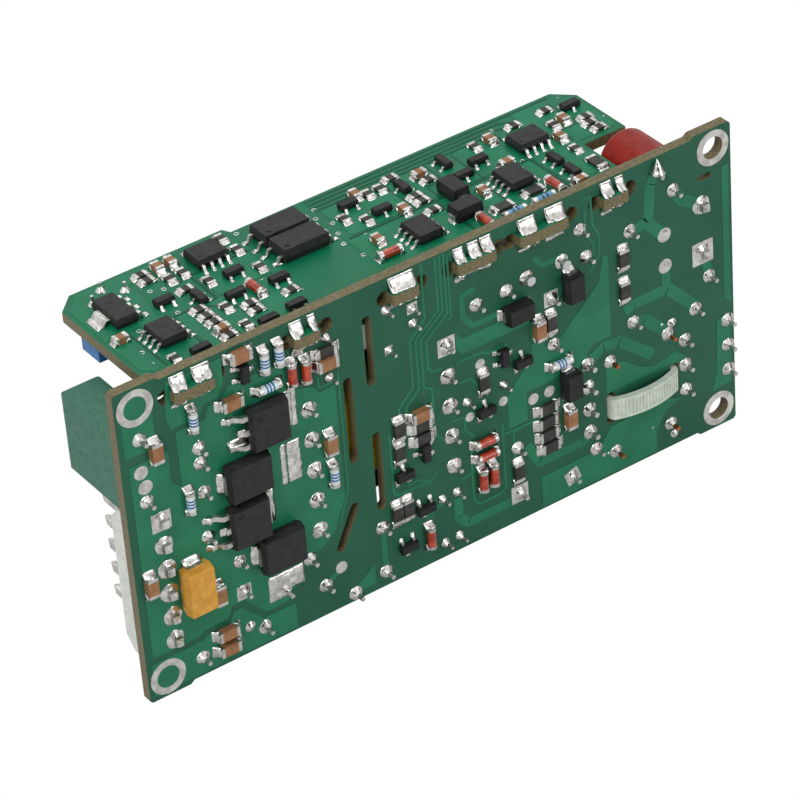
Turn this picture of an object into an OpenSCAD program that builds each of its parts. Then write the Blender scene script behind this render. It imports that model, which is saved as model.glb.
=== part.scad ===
/* [Main board] */
// Length of the main board
board_l = 101.6; // [101.4:0.1:108]
// Height of the main board
board_h = 50.8; // [50.4:0.1:54]
// Thickness of the main board
board_t = 1.6; // [1.2:0.1:2.2]
// Diameter of the mounting holes
hole_d = 3.5; // [3:0.1:3.8]
// Distance from the middle of a mounting hole to the edges
hole_inset = 3.175; // [2.95:0.025:3.4]
// Width of the plated ring round a mounting hole
ring_w = 1.05; // [0.5:0.05:1.1]
// Depth of the recess along both long edges
edge_step = 0.5; // [0.2:0.1:0.8]
// Length of the full height land at each corner
corner_land = 6.5; // [6.2:0.1:7.2]
// Width of the routed isolation slots
slot_w = 1.4; // [1:0.1:1.6]

/* [Control board] */
// Height of its underside above the lower edge of the main board
ctl_z = 46.4; // [46.3:0.1:47]
// Thickness of the control board
ctl_t = 1.6; // [1.2:0.1:1.8]
// Distance of its left edge from the left end of the main board
ctl_x0 = 7.3; // [6.8:0.1:7.4]
// Distance of its right edge from the left end of the main board
ctl_x1 = 92.5; // [92:0.1:94]
// Distance of its far edge from the solder side of the main board
ctl_far = 26; // [25.9:0.1:28]
// How far the land at the left stands out beyond the far edge
ctl_land = 1.3; // [1.1:0.1:2]
// How far the tabs stand out of the solder side
tab_reach = 1.5; // [1:0.1:2]
// Clearance all round a tab in its slot
tab_gap = 0.1; // [0.05:0.05:0.2]

/* [Capacitors] */
// Diameter of the two bulk capacitors
bulk_d = 14.5; // [13:0.1:14.5]
// Height of the two bulk capacitors
bulk_h = 25; // [20:0.5:26]
// Diameter of the output capacitor
out_d = 10; // [9:0.1:10]
// Height of the two upright output capacitors
out_h = 20; // [12:0.5:22]
// Width, depth and height of the box film capacitor
film_w = 6; // [5:0.1:6]
// Depth of the box film capacitor
film_d = 12; // [10:0.5:13]
// Height of the box film capacitor
film_h = 13; // [10:0.5:14]

/* [Connectors] */
// Distance between two header pins
pin_pitch = 3.96; // [3.9:0.01:3.96]
// Side of a square header pin
pin_w = 1.14; // [0.9:0.02:1.2]
// Height of a header pin above the component side
pin_h = 13.6; // [11:0.1:14]
// Height of a header's base
header_h = 3.8; // [3:0.1:4.4]
// Height of a header's friction wall
wall_h = 9.8; // [8:0.1:11]

/* [Other parts] */
// Diameter of the two fuses
fuse_d = 8.5; // [7.5:0.1:8.5]
// Height of the two fuses
fuse_h = 8; // [6:0.1:9]
// Side of the trimmer's square face
trim_w = 6.6; // [6:0.1:6.8]
// Depth of the trimmer
trim_d = 4.4; // [4:0.1:4.6]
// Diameter of the trimmer's rotor
rotor_d = 4.4; // [3.6:0.1:4.8]
// Clearance round the rotor
rotor_gap = 0.1; // [0.06:0.01:0.15]
// Width of the cable tie
tie_w = 3.4; // [2.5:0.1:3.6]
// Thickness of the cable tie
tie_t = 0.9; // [0.7:0.05:1]
// Outer diameter of the line choke's ring core
ring_d = 11.6; // [10.6:0.1:11.6]
// Thickness of the heat sink
sink_t = 1.8; // [1.2:0.1:1.8]

/* [Hidden] */
$fn = 48;

flat = 0.3;             // foot height of a part that stands just off its board
pad_t = 0.07;           // copper and plating of a pad
cap_l = 0.5;            // length of a chip's metal end
wire_d = 0.65;          // component wire
fine_d = 0.5;           // wire of small cans and packages
hole_gap = 0.1;         // clearance of a wire in its hole
lead_cut = 1.8;         // how far a cut wire stands out of the solder side
joint_h = 1.15;         // height of a solder cone
flush_cut = 0.15;       // the same for the varistor's wires, cut flush with flat solder
edge_slope = 0.7;       // length of the slope between land and recess
corner_cut = 0.4;       // cut at a board corner
ctl_top = ctl_z + ctl_t;

// Isolation slots and the tie's slots: two end points each, from the lower left corner
SLOTS = [[[39.35, 35.2], [39.35, ctl_z - 1.4]], [[35.6, 24.1], [35.6, 36.7]],
    [[39.4, 14.3], [39.4, 25.9]], [[35, 16.1], [32.3, 10.5]]];
TIE_X = [79.05, 90.55];
TIE_Z = 12.25;
tie_slot_w = 1.5;        // width of a slot for the tie
tie_slot_h = 5.4;        // its whole height
tie_bulge = 1;           // how far the tie's band bows off the solder side
SLIT = [[96.1, 43.5], [97.7, 43.5]];
slit_w = 0.9;

// Tabs of the control board and the slots they go through, from and to along the length
TABS = [[8.5, 14.8], [27.2, 31.4], [43, 47.4], [53.8, 60.2], [64.2, 72.4], [78.5, 82.7]];
TAB_SLOTS = [[7.6, 16.2], [26.5, 33.2], [42.2, 48.6], [52.9, 61.6], [63.1, 73.8], [77.6, 84]];
// Solder pads over and under each tab, from and to along the length
TAB_PADS = [[7.3, 10.9], [12, 15.9], [26.7, 29.2], [30.2, 32.6], [43.2, 47.6], [52.4, 55.5],
    [56.2, 58], [58.3, 60.3], [64.6, 67.5], [69.2, 72.6], [78.7, 80.6], [81.3, 83.2]];
notch_x = 85.2;
notch_y = 12;
land_x = 34.6;
ctl_chamfer = 2.8;

// Places of the leaded parts: length and height from the lower left corner
FILM = [3.3, 37.5];
film_pitch = 10;
OUT_PINS = [5, 8.7];
out_count = 6;
IN_PINS = [96.2, 31.18];
in_count = 3;
header_w = 8.5;
FUSES = [[89.8, 45.65, -54], [96, 24.5, 60]];
fuse_pitch = 5.2;
CORE = [40.5, 25.2];
core_l = 25.2;
core_w = 25;
core_t = 7;
leg_w = 7.5;
side_w = 3.75;
back_w = 3.7;
window_l = core_l - 2 * back_w;
core_lift = 4.2;
core_gap = 0.6;
rail_x = 11.27;
rail_in = 1.9;
row_pitch = 5.03;
row_pad = 1.38;          // radius of the solder on a transformer pin
BULK = [[62.6, 9.1, 90], [69.7, 31.2, 90]];
bulk_pitch = 7.8;
OUT_CAP = [16.25, 13.7];
OUT_CAP_2 = [25, 9.5];
out_2_d = 6.3;
OUT_CAP_3 = [14, 32.3];
out_3_d = 12.5;
out_3_l = 12;
out_3_x = 11.9;
out_3_pitch = 4.8;
BRIDGE = [75.3, 15.6];
bridge_pitch = 3.87;
THERM = [74, 5];
therm_turn = 31;
VAR = [89.5, 34.4];
LINE = [83.6, 32.5];
line_pitch = 15.2;
YCAPS = [[96.5, 17.8, 0, 7, 7.8], [96.5, 13.5, 0, 7, 7.8], [96.5, 9.2, 0, 7, 7.8],
    [39.25, 6.7, 90, 8, 7.6], [31.65, 3.6, -39, 6, 6]];
disc_t = 2.8;
disc_lift = 1;
disc_pitch = 5.2;
therm_d = 6.5;
var_d = 8.6;
ycap_wire = 0.7;
RING = [84.8, 12.25];
ring_hole = 6.6;
ring_t = 6.4;
winding_t = 0.9;
CHOKE_LEADS = [[79.3, 20.1], [79.7, 4.3], [89.7, 4.5], [89.6, 20.2]];
SINK_X = [54, 73.6];
sink_z = 41.6;
sink_h = 24;
SINK_PINS = [65.7, 71.8];
foot_z = 40.25;
SWITCH_X = 59.7;
switch_pins = 5.08;
RESISTOR = [75.5, 41.65];
resistor_pitch = 4.8;
supply_d = 8;
supply_h = 12;
supply_pitch = 6.3;
SUPPLY = [CORE[0] + core_l / 2 + core_gap + supply_d / 2, 24.7];
BYPASS = [46.7, 42.55];
bypass_d = 5;
bypass_h = 11;
bypass_pitch = 2.5;
ROD = [14, 3.45];
rod_pitch = 10.2;
rod_d = 4.4;
rod_coil_d = 6;
PULSE = [37.7, 42];
pulse_l = 9.6;
pulse_w = 6.4;
pulse_core_w = 5.4;
pulse_core_t = 2.6;
pulse_leg = 1.8;
pulse_side = 0.7;
DIP = [50.65, 6.75];
dip_pitch = 2.54;
dip_row = 7.6;

// Small parts on the solder side: length, height, turn (0 lies along the length)
RESISTORS = [[32.5, 43.3, 0], [46.7, 24.5, 0], [46.8, 22.3, 0], [67.9, 17.5, 0], [67.8, 15.2, 0],
    [67.8, 13, 0], [68.1, 10.8, 0], [43, 25.5, 90], [42.8, 21.7, 90], [41.7, 11.8, 90],
    [43.5, 11.8, 90], [SUPPLY[0] - 0.3, 26.7, 90], [69.3, 31.3, 90], [62.4, 9.1, 90], [82.1, 36.3, 90],
    [82.1, 30.9, 90]];
CAPACITORS = [[19.2, 48.8, 0], [17.2, 42.2, 0], [12.8, 3.4, 0], [12.8, 6, 0], [32.3, 41.6, 0],
    [46.5, 26.5, 0], [5.2, 39.9, 90], [2.1, 19.3, 90], [12.2, 12.9, 90], [31.8, 28.6, 90],
    [67, 31.3, 90], [71.6, 14.2, 90]];
CYLINDERS = [[22.8, 46.2, 90], [25.1, 46.4, 90], [11.2, 42.2, 90], [9.4, 29.8, 90],
    [31.9, 23.4, 90], [23, 42, 0], [70.3, 24.2, 0]];
GLASS = [[26.8, 42.4, 90], [29, 41.9, 90], [46.7, 5.5, 90], [56.1, 10.8, 90], [58, 10.9, 90],
    [56.9, 17.1, 0], [57, 14.7, 0]];
SOTS = [[19.6, 45.8, -90], [43.2, 17.8, 0], [46.9, 20, 90], [46.3, 10.6, 180], [43, 5.6, 180],
    [57.4, 22, 0], [60.9, 29.5, -90], [64, 27.3, 0]];
DIODES = [[63.3, 36.2, 0], [72.7, 36.2, 90], [71.6, 20.2, 90]];
DPAKS = [[22, 37.1, -90], [17.6, 23, -90]];
SMCS = [[18.2, 30.1, 0], [22.3, 16.1, 0]];
TANTALUM = [8.6, 16.3, 90];

// Small parts on the control board: length, depth from the solder side, turn
CTL_RESISTORS = [[19.9, 24.8, 0], [19.9, 23.1, 0], [22.7, 17.9, 0], [21.4, 12.7, 0],
    [21.4, 10.8, 0], [21.4, 8.9, 0], [21.3, 5, 0], [27.4, 9.4, 0], [27.3, 7.6, 0], [33.4, 8.5, 0],
    [59.4, 22.4, 0], [59.4, 16.4, 0], [59.4, 14.8, 0], [59.2, 11.9, 0], [63.2, 18.6, 0],
    [86.2, 22.4, 0], [89.1, 15.8, 0], [89.3, 13.9, 0], [22.4, 21.5, 90], [24.6, 21.6, 90],
    [26.2, 17.6, 90], [24.5, 10.8, 90], [24.3, 5.6, 90], [33.1, 25.2, 90], [33.3, 21.5, 90],
    [33.3, 15.9, 90], [54.7, 21.1, 90], [56.7, 21.1, 90], [48.6, 18.1, 90], [50.9, 15.9, 90],
    [73.1, 21.3, 90], [83.4, 11.6, 90], [12.8, 5.2, 90], [84.9, 18.6, 90], [80.5, 22.2, 0],
    [89.6, 17.4, 0]];
CTL_LARGE = [[83.4, 6.8, 90], [66.8, 6.2, 0], [72.4, 6.7, 0]];
CTL_CAPACITORS = [[9.6, 13.4, 0], [21.2, 6.6, 0], [62.9, 20.4, 0], [73.8, 14.7, 0],
    [78.8, 4.4, 0], [22.5, 24.6, 90], [24.6, 24.6, 90], [53.1, 21.8, 90], [56.1, 14.4, 90],
    [49, 10.6, 90], [67, 10.9, 90], [75.6, 21.1, 90], [83.5, 15.2, 90], [86.7, 18.7, 90]];
CTL_CYLINDERS = [[66.9, 3.5, 0], [72, 3.7, 0]];
CTL_GLASS = [[29.8, 11.6, 90], [48.3, 6.7, 0], [62.8, 4.4, 90], [75.4, 5.6, 90]];
CTL_SOTS = [[16.4, 4.5, 0], [18.8, 17.2, 0], [22.9, 14.9, 90], [27, 12.3, 0], [27, 4.3, 0],
    [29.7, 16.9, 0], [33.5, 11.6, 0], [31.8, 4.9, 0], [50.9, 20.4, 0], [59.2, 19.2, 90],
    [53.7, 16.3, 180], [67.2, 20.5, -90], [67.4, 16.1, 180], [71.1, 17.8, 0], [89.6, 21, 180],
    [79.4, 11, -90], [79.4, 7.1, -90]];
CTL_DIODES = [[63.6, 13.3, 90], [61.9, 8.1, 0]];
CTL_SO8 = [[14.8, 10.4, 90], [29.1, 22.6, 0], [54.7, 8.2, 90], [71.9, 10.6, 90], [79.4, 17.3, 0]];
CTL_OPTOS = [[40.1, 20.9, 90], [40.1, 16.3, 90]];
REGULATOR = [12.3, 18.95, 90];

// The trimmer hangs under the control board with its rotor towards the far edge
TRIM = [14, 24.3];
trim_h = 6.9;
TRIM_PINS = [[11.4, 23.3], [13.95, 25.4], [16.5, 23.3]];
trim_pin_d = 0.5;
rotor_sunk = 1.6;
rotor_proud = 0.5;
slot_depth = 0.7;

// A point at a distance and angle from a middle
function polar(mid, r, a) = [mid[0] + r * cos(a), mid[1] + r * sin(a)];
// The two leads of a part with a pitch and a turn
function pair(mid, pitch, a) = [polar(mid, pitch / 2, a), polar(mid, -pitch / 2, a)];
// The leads of a straight row
function row(mid, pitch, n, a) = [for (i = [0 : n - 1]) polar(mid, pitch * (i - (n - 1) / 2), a)];
// Height of a disc's lower edge at half a lead pitch from its middle
function disc_under(d, pitch) = d / 2 - sqrt(max(d * d / 4 - pitch * pitch / 4, 0.2)) + disc_lift;

WIRES = concat(
    [for (p = pair(FILM, film_pitch, 90)) [p, wire_d, flat]],
    [for (f = FUSES, p = pair(f, fuse_pitch, f[2])) [p, wire_d, 0]],
    [for (b = BULK, p = pair(b, bulk_pitch, b[2])) [p, wire_d, 0]],
    [for (p = pair(OUT_CAP, 5.2, 92)) [p, wire_d, 0]],
    [for (p = pair(OUT_CAP_2, 5.4, 36)) [p, wire_d, 0]],
    [for (p = row(BRIDGE, bridge_pitch, 4, 90)) [p, 0.8, 3.4]],
    [for (p = pair(THERM, disc_pitch, therm_turn))
        [p, wire_d, disc_under(therm_d, disc_pitch - wire_d)]],
    [for (p = pair(VAR, disc_pitch, 90))
        [p, wire_d, disc_under(var_d, disc_pitch - wire_d), pad_r(wire_d), flush_cut]],
    [for (p = pair(LINE, line_pitch, 90)) [p, wire_d, flat]],
    [for (c = YCAPS, p = pair(c, c[4], c[2])) [p, ycap_wire, disc_under(c[3], c[4] - ycap_wire)]],
    [for (x = [SWITCH_X - switch_pins / 2, SWITCH_X + switch_pins / 2])
        [[x, sink_z - 2], wire_d, 4.4]],
    [for (p = pair(SUPPLY, supply_pitch, 0)) [p, fine_d, 0]],
    [for (p = pair(BYPASS, bypass_pitch, 90)) [p, fine_d, 0]],
    [for (x = [-1, 1], p = row([DIP[0], DIP[1] + x * dip_row / 2], dip_pitch, 2, 0))
        [p, fine_d, 2]],
    [for (x = [-1, 1], p = row([CORE[0] + x * rail_x, CORE[1]], row_pitch, 5, 90))
        [p, wire_d, flat, row_pad]],
    [for (x = [-1, 1], y = [-1, 1])
        [[PULSE[0] + x * pulse_l / 2, PULSE[1] + y * pulse_w / 2], fine_d, flat]]);
BENT = concat(CHOKE_LEADS, pair(ROD, rod_pitch, 0), pair([out_3_x, OUT_CAP_3[1]], out_3_pitch, 90),
    pair(RESISTOR, resistor_pitch, 100));
LINKS = [[11.8, 22.6], [11.9, 37.1]];
PIN_ROWS = concat(
    [for (i = [0 : out_count - 1]) [OUT_PINS[0], OUT_PINS[1] + i * pin_pitch]],
    [for (i = [0, in_count - 1]) [IN_PINS[0], IN_PINS[1] + i * pin_pitch]]);
SINK_POSTS = [for (x = SINK_PINS) [x, foot_z]];

// --- Placing -------------------------------------------------------------------------------

// From the lower left corner of the solder side to the middle of the hole pattern
module on_board() translate([-board_l / 2, 0, -board_h / 2]) children();
// The turn that comes third in a place, or none
function turn_of(p) = len(p) > 2 ? p[2] : 0;
// Stands a shape on the solder side, its own Z pointing out of the board
module solder_side(p) translate([p[0], 0, p[1]]) rotate([90, 0, 0]) rotate(turn_of(p)) children();
// Stands a shape on the component side
module part_side(p) translate([p[0], board_t, p[1]]) rotate([-90, 0, 0]) children();
// Stands a shape on top of the control board
module on_control(p) translate([p[0], p[1], ctl_top]) rotate(p[2]) children();

// --- Boards --------------------------------------------------------------------------------

module slot2d(a, b, w) translate(a) rotate(atan2(b[1] - a[1], b[0] - a[0])) {
    circle(d = w);
    translate([norm(b - a), 0]) circle(d = w);
    translate([0, -w / 2]) square([norm(b - a), w]);
}

module board_outline() {
    c = corner_cut;
    inner = corner_land + edge_slope;
    polygon([[c, 0], [corner_land, 0], [inner, edge_step], [board_l - inner, edge_step],
        [board_l - corner_land, 0], [board_l - c, 0], [board_l, c], [board_l, board_h - c],
        [board_l - c, board_h], [board_l - corner_land, board_h],
        [board_l - inner, board_h - edge_step], [inner, board_h - edge_step],
        [corner_land, board_h], [c, board_h], [0, board_h - c], [0, c]]);
}

function corner_holes() = [for (x = [hole_inset, board_l - hole_inset],
    z = [hole_inset, board_h - hole_inset]) [x, z]];

module main_board() {
    relief = ctl_t + 2 * tab_gap;
    color([0.14, 0.42, 0.31]) on_board()
        translate([0, board_t, 0]) rotate([90, 0, 0]) linear_extrude(board_t) difference() {
            board_outline();
            for (p = corner_holes()) translate(p) circle(d = hole_d);
            for (s = SLOTS) slot2d(s[0], s[1], slot_w);
            for (x = TIE_X)
                slot2d([x, TIE_Z - (tie_slot_h - tie_slot_w) / 2],
                    [x, TIE_Z + (tie_slot_h - tie_slot_w) / 2], tie_slot_w);
            slot2d(SLIT[0], SLIT[1], slit_w);
            for (s = TAB_SLOTS) {
                translate([s[0], ctl_z - tab_gap]) square([s[1] - s[0], relief]);
                for (x = [s[0] + 0.2, s[1] - 0.2])
                    translate([x, ctl_z + ctl_t / 2]) circle(d = relief + 0.5);
            }
            for (w = WIRES) translate(w[0]) circle(d = w[1] + 2 * hole_gap, $fn = 24);
            for (p = concat(BENT, LINKS)) translate(p) circle(d = wire_d + 2 * hole_gap, $fn = 24);
            for (p = SINK_POSTS) translate(p) circle(d = 1.4 + 2 * hole_gap, $fn = 24);
            for (p = PIN_ROWS) translate(p) circle(d = pin_w * 1.42 + 2 * hole_gap, $fn = 24);
        }
}

module mounting_pads() {
    color([0.85, 0.84, 0.82]) on_board() for (p = corner_holes(), y = [-pad_t, board_t])
        translate([p[0], y, p[1]]) rotate([-90, 0, 0]) difference() {
            cylinder(d = hole_d + 2 * ring_w, h = pad_t);
            translate([0, 0, -1]) cylinder(d = hole_d, h = pad_t + 2);
        }
}

module control_board() {
    far = ctl_far + ctl_land;
    color([0.06, 0.47, 0.33]) on_board() translate([0, 0, ctl_z]) linear_extrude(ctl_t)
        difference() {
            union() {
                polygon([[ctl_x0, board_t], [notch_x, board_t], [notch_x, notch_y],
                    [ctl_x1, notch_y], [ctl_x1, ctl_far - ctl_chamfer],
                    [ctl_x1 - ctl_chamfer, ctl_far], [land_x + ctl_land / 2, ctl_far],
                    [land_x, far], [ctl_x0 + ctl_chamfer, far], [ctl_x0, far - ctl_chamfer]]);
                for (t = TABS) polygon([[t[0], board_t + 1], [t[0], 0.3 - tab_reach],
                    [t[0] + 0.3, -tab_reach], [t[1] - 0.3, -tab_reach], [t[1], 0.3 - tab_reach],
                    [t[1], board_t + 1]]);
            }
            for (p = TRIM_PINS) translate(p) circle(d = trim_pin_d + 2 * hole_gap, $fn = 24);
        }
}

// --- Solder --------------------------------------------------------------------------------

// A cone of solder with a hollow flank round a wire
module cone_of_solder(r, wire, h) {
    top = wire / 2 + 0.12;
    rotate_extrude($fn = 24) polygon(concat([[wire / 2, 0], [r, 0], [r, 0.08]],
        [for (i = [1 : 4]) let (s = i / 4) [top + (r - top) * pow(1 - s, 2), 0.08 + (h - 0.08) * s]],
        [[wire / 2, h]]));
}

// Pad radius that goes with a wire
function pad_r(wire) = wire / 2 + (wire > fine_d ? 0.82 : 0.55);

module solder_joints() {
    color([0.8, 0.79, 0.77]) on_board() {
        for (w = WIRES) solder_side(w[0])
            cone_of_solder(len(w) > 3 ? w[3] : pad_r(w[1]), w[1], len(w) > 4 ? 2 * w[4] : joint_h);
        for (p = concat(BENT, LINKS)) solder_side(p)
            cone_of_solder(pad_r(wire_d), wire_d, joint_h);
        for (p = SINK_POSTS) solder_side(p) cone_of_solder(1.25, 1.4, joint_h);
        for (p = PIN_ROWS) solder_side(p) difference() {
            cone_of_solder(1.6, 0.02, joint_h + 0.25);
            translate([-pin_w / 2, -pin_w / 2, -1]) cube([pin_w, pin_w, 4]);
        }
        for (p = TRIM_PINS) translate([p[0], p[1], ctl_top])
            cone_of_solder(0.75, trim_pin_d, joint_h);
    }
}

// Fillets between each tab and the solder side, hollow towards the corner
module tab_solder() {
    leg = tab_reach - 0.35;
    color([0.8, 0.79, 0.77]) on_board() for (p = TAB_PADS) {
        tab = [for (t = TABS) if (t[0] < p[1] && t[1] > p[0]) t][0];
        from = max(p[0], tab[0] + 0.05);
        to = min(p[1], tab[1] - 0.05);
        for (up = [0, 1]) translate([from, 0, up == 1 ? ctl_top : ctl_z])
            mirror([0, 0, 1 - up]) rotate([90, 0, 90]) linear_extrude(to - from)
                polygon(concat([[0, 0], [-leg, 0]],
                    [for (i = [1 : 4]) let (a = 90 * i / 5) [-leg * (1 - sin(a)),
                        (1.5 - tab_gap) * (1 - cos(a)) + tab_gap]],
                    [[0, 1.5]]));
    }
}

// --- Small surface parts, each lying along X on Z = 0 -------------------------------------

// Moulded body with drafted sides
module moulded(l, w, h, draft) {
    module side(a) polygon([[draft - a / 2, 0], [a / 2 - draft, 0], [a / 2, h * 0.45],
        [a / 2 - draft, h], [draft - a / 2, h], [-a / 2, h * 0.45]]);
    intersection() {
        rotate([90, 0, 0]) linear_extrude(w + 1, center = true) side(l);
        rotate([90, 0, 90]) linear_extrude(l + 1, center = true) side(w);
    }
}

// Metal lead that leaves a body at a height and steps down to a foot along Y
module gull_lead(w, rise, run, t) {
    knee = min(run * 0.3, 0.6);
    foot = run * 0.4;
    translate([-w / 2, 0, 0]) rotate([90, 0, 90]) linear_extrude(w)
        polygon([[0, rise], [knee, rise], [run - foot, 0], [run, 0], [run, t],
            [run - foot + t * 0.6, t], [knee + t * 0.6, rise + t], [0, rise + t]]);
}

// Metal strap that comes down an end face and folds under it, facing +X
module strap(l, w, rise, lift) {
    translate([l / 2, w / 2, 0]) rotate([90, 0, 0]) linear_extrude(w)
        polygon([[0, lift], [0.01, lift], [0.01, rise], [0.2, rise], [0.2, 0], [-1.1, 0],
            [-1.1, lift]]);
}

module chip_body(l, w, h) translate([cap_l - l / 2, -w / 2, 0]) cube([l - 2 * cap_l, w, h]);
module chip_ends(l, w, h) for (s = [-1, 1])
    translate([s * (l - cap_l) / 2 - cap_l / 2, -w / 2, 0]) cube([cap_l, w, h]);

melf_l = 3.5;
melf_d = 1.35;
module melf_body() translate([cap_l - melf_l / 2, 0, melf_d / 2]) rotate([0, 90, 0])
    cylinder(d = melf_d - 0.06, h = melf_l - 2 * cap_l, $fn = 24);
module melf_ends() for (s = [-1, 1]) translate([s * (melf_l - cap_l) / 2 - cap_l / 2, 0, melf_d / 2])
    rotate([0, 90, 0]) cylinder(d = melf_d, h = cap_l, $fn = 24);

sot = [2.9, 1.3, 1];
module sot_body() translate([0, 0, 0.08]) moulded(sot[0], sot[1], sot[2], 0.1);
module sot_leads() {
    rise = 0.4;
    translate([0, sot[1] / 2, 0]) gull_lead(0.4, rise, 0.6, 0.13);
    for (x = [-0.95, 0.95]) translate([x, -sot[1] / 2, 0]) rotate(180)
        gull_lead(0.4, rise, 0.6, 0.13);
}

diode = [4.3, 2.7, 2.1];
module diode_body() translate([0, 0, 0.1]) moulded(diode[0], diode[1], diode[2], 0.15);
module diode_straps() for (a = [0, 180]) rotate(a) strap(diode[0], 1.6, 1.05, 0.1);

so8 = [4.9, 3.9, 1.45];
module so8_body() difference() {
    translate([0, 0, 0.15]) moulded(so8[0], so8[1], so8[2], 0.15);
    translate([-1.7, -1.2, so8[2] + 0.1]) cylinder(d = 0.7, h = 1, $fn = 24);
}
module so8_leads() for (a = [0, 180], i = [-1.5 : 1.5]) rotate(a)
    translate([i * 1.27, so8[1] / 2, 0]) gull_lead(0.42, 0.7, 1.05, 0.2);

opto = [4.3, 7.4, 2.1];
module opto_body() difference() {
    translate([0, 0, 0.1]) moulded(opto[0], opto[1], opto[2], 0.2);
    translate([-1.3, 2.7, opto[2]]) cylinder(d = 0.8, h = 1, $fn = 24);
}
module opto_leads() for (a = [0, 180], x = [-1.27, 1.27]) rotate(a)
    translate([x, opto[1] / 2, 0]) gull_lead(0.5, 0.9, 1.4, 0.2);

reg = [6.5, 3.5, 1.6];
module reg_body() translate([0, 0, 0.08]) moulded(reg[0], reg[1], reg[2], 0.2);
module reg_leads() {
    translate([0, reg[1] / 2, 0]) gull_lead(3, 0.8, 1.7, 0.25);
    for (x = [-2.3, 0, 2.3]) translate([x, -reg[1] / 2, 0]) rotate(180)
        gull_lead(0.7, 0.8, 1.7, 0.25);
}

dpak = [6.6, 6.1, 2.2];
module dpak_body() translate([0, 0, 0.1]) difference() {
    moulded(dpak[0], dpak[1], dpak[2], 0.25);
    translate([-2.3, -1.9, dpak[2] - 0.1]) cylinder(d = 0.9, h = 1, $fn = 24);
    translate([-2.65, 1.6, -0.2]) cube([5.3, 3, 0.6]);
}
module dpak_metal() {
    translate([-2.6, 1.65, 0]) cube([5.2, 2.35, 0.48]);
    for (x = [-2.28, 2.28]) translate([x, -dpak[1] / 2, 0]) rotate(180)
        gull_lead(0.76, 0.95, 2.6, 0.5);
    translate([-0.45, -dpak[1] / 2 - 0.7, 1]) cube([0.9, 0.7, 0.5]);
}

smc = [6.8, 5.8, 2.2];
module smc_body() translate([0, 0, 0.1]) moulded(smc[0], smc[1], smc[2], 0.25);
module smc_straps() for (a = [0, 180]) rotate(a) strap(smc[0], 3, 1.1, 0.1);

tant = [7.1, 4.3, 2.7];
module tant_body() translate([0, 0, 0.1]) difference() {
    moulded(tant[0], tant[1], tant[2], 0.18);
    translate([tant[0] / 2, 0, tant[2]]) rotate([0, 45, 0]) cube([0.7, 6, 0.7], center = true);
}
module tant_straps() for (a = [0, 180]) rotate(a) strap(tant[0], 2.4, 1.3, 0.1);

chip = [3.2, 1.6, 0.6];
mlcc = [3.2, 1.6, 1.2];
small_chip = [2, 1.25, 0.5];
small_mlcc = [2, 1.25, 1];

module power_transistors() color([0.18, 0.18, 0.18]) on_board()
    for (p = DPAKS) solder_side(p) dpak_body();
module large_diodes() color([0.16, 0.16, 0.17]) on_board()
    for (p = SMCS) solder_side(p) smc_body();
module tantalum_capacitor() color([0.85, 0.62, 0.22]) on_board() solder_side(TANTALUM) tant_body();
module power_terminals() color([0.78, 0.78, 0.77]) on_board() {
    for (p = DPAKS) solder_side(p) dpak_metal();
    for (p = SMCS) solder_side(p) smc_straps();
    solder_side(TANTALUM) tant_straps();
}
module solder_side_resistors() color([0.15, 0.15, 0.16]) on_board()
    for (p = RESISTORS) solder_side(p) chip_body(chip[0], chip[1], chip[2]);
module solder_side_capacitors() color([0.7, 0.48, 0.3]) on_board()
    for (p = CAPACITORS) solder_side(p) chip_body(mlcc[0], mlcc[1], mlcc[2]);
module solder_side_cylinders() color([0.75, 0.78, 0.76]) on_board()
    for (p = CYLINDERS) solder_side(p) melf_body();
module solder_side_glass_diodes() color([0.62, 0.16, 0.08]) on_board()
    for (p = GLASS) solder_side(p) melf_body();
module solder_side_end_caps() color([0.8, 0.8, 0.78]) on_board() {
    for (p = RESISTORS) solder_side(p) chip_ends(chip[0], chip[1], chip[2]);
    for (p = CAPACITORS) solder_side(p) chip_ends(mlcc[0], mlcc[1], mlcc[2]);
    for (p = concat(CYLINDERS, GLASS)) solder_side(p) melf_ends();
}
module solder_side_packages() color([0.16, 0.16, 0.17]) on_board() {
    for (p = SOTS) solder_side(p) sot_body();
    for (p = DIODES) solder_side(p) diode_body();
}
module solder_side_package_leads() color([0.78, 0.78, 0.77]) on_board() {
    for (p = SOTS) solder_side(p) sot_leads();
    for (p = DIODES) solder_side(p) diode_straps();
}
module control_circuits() color([0.17, 0.17, 0.18]) on_board() {
    for (p = CTL_SO8) on_control(p) so8_body();
    on_control(REGULATOR) reg_body();
}
module control_couplers() color([0.18, 0.18, 0.18]) on_board()
    for (p = CTL_OPTOS) on_control(p) opto_body();
module control_packages() color([0.15, 0.15, 0.16]) on_board() {
    for (p = CTL_SOTS) on_control(p) sot_body();
    for (p = CTL_DIODES) on_control(p) diode_body();
}
module control_package_leads() color([0.78, 0.78, 0.77]) on_board() {
    for (p = CTL_SO8) on_control(p) so8_leads();
    for (p = CTL_OPTOS) on_control(p) opto_leads();
    for (p = CTL_SOTS) on_control(p) sot_leads();
    for (p = CTL_DIODES) on_control(p) diode_straps();
    on_control(REGULATOR) reg_leads();
}
module control_resistors() color([0.14, 0.14, 0.15]) on_board() {
    for (p = CTL_RESISTORS) on_control(p) chip_body(small_chip[0], small_chip[1], small_chip[2]);
    for (p = CTL_LARGE) on_control(p) chip_body(chip[0], chip[1], chip[2]);
}
module control_capacitors() color([0.7, 0.5, 0.33]) on_board()
    for (p = CTL_CAPACITORS) on_control(p)
        chip_body(small_mlcc[0], small_mlcc[1], small_mlcc[2]);
module control_cylinders() color([0.35, 0.55, 0.7]) on_board()
    for (p = CTL_CYLINDERS) on_control(p) melf_body();
module control_glass_diodes() color([0.66, 0.2, 0.1]) on_board()
    for (p = CTL_GLASS) on_control(p) melf_body();
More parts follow.
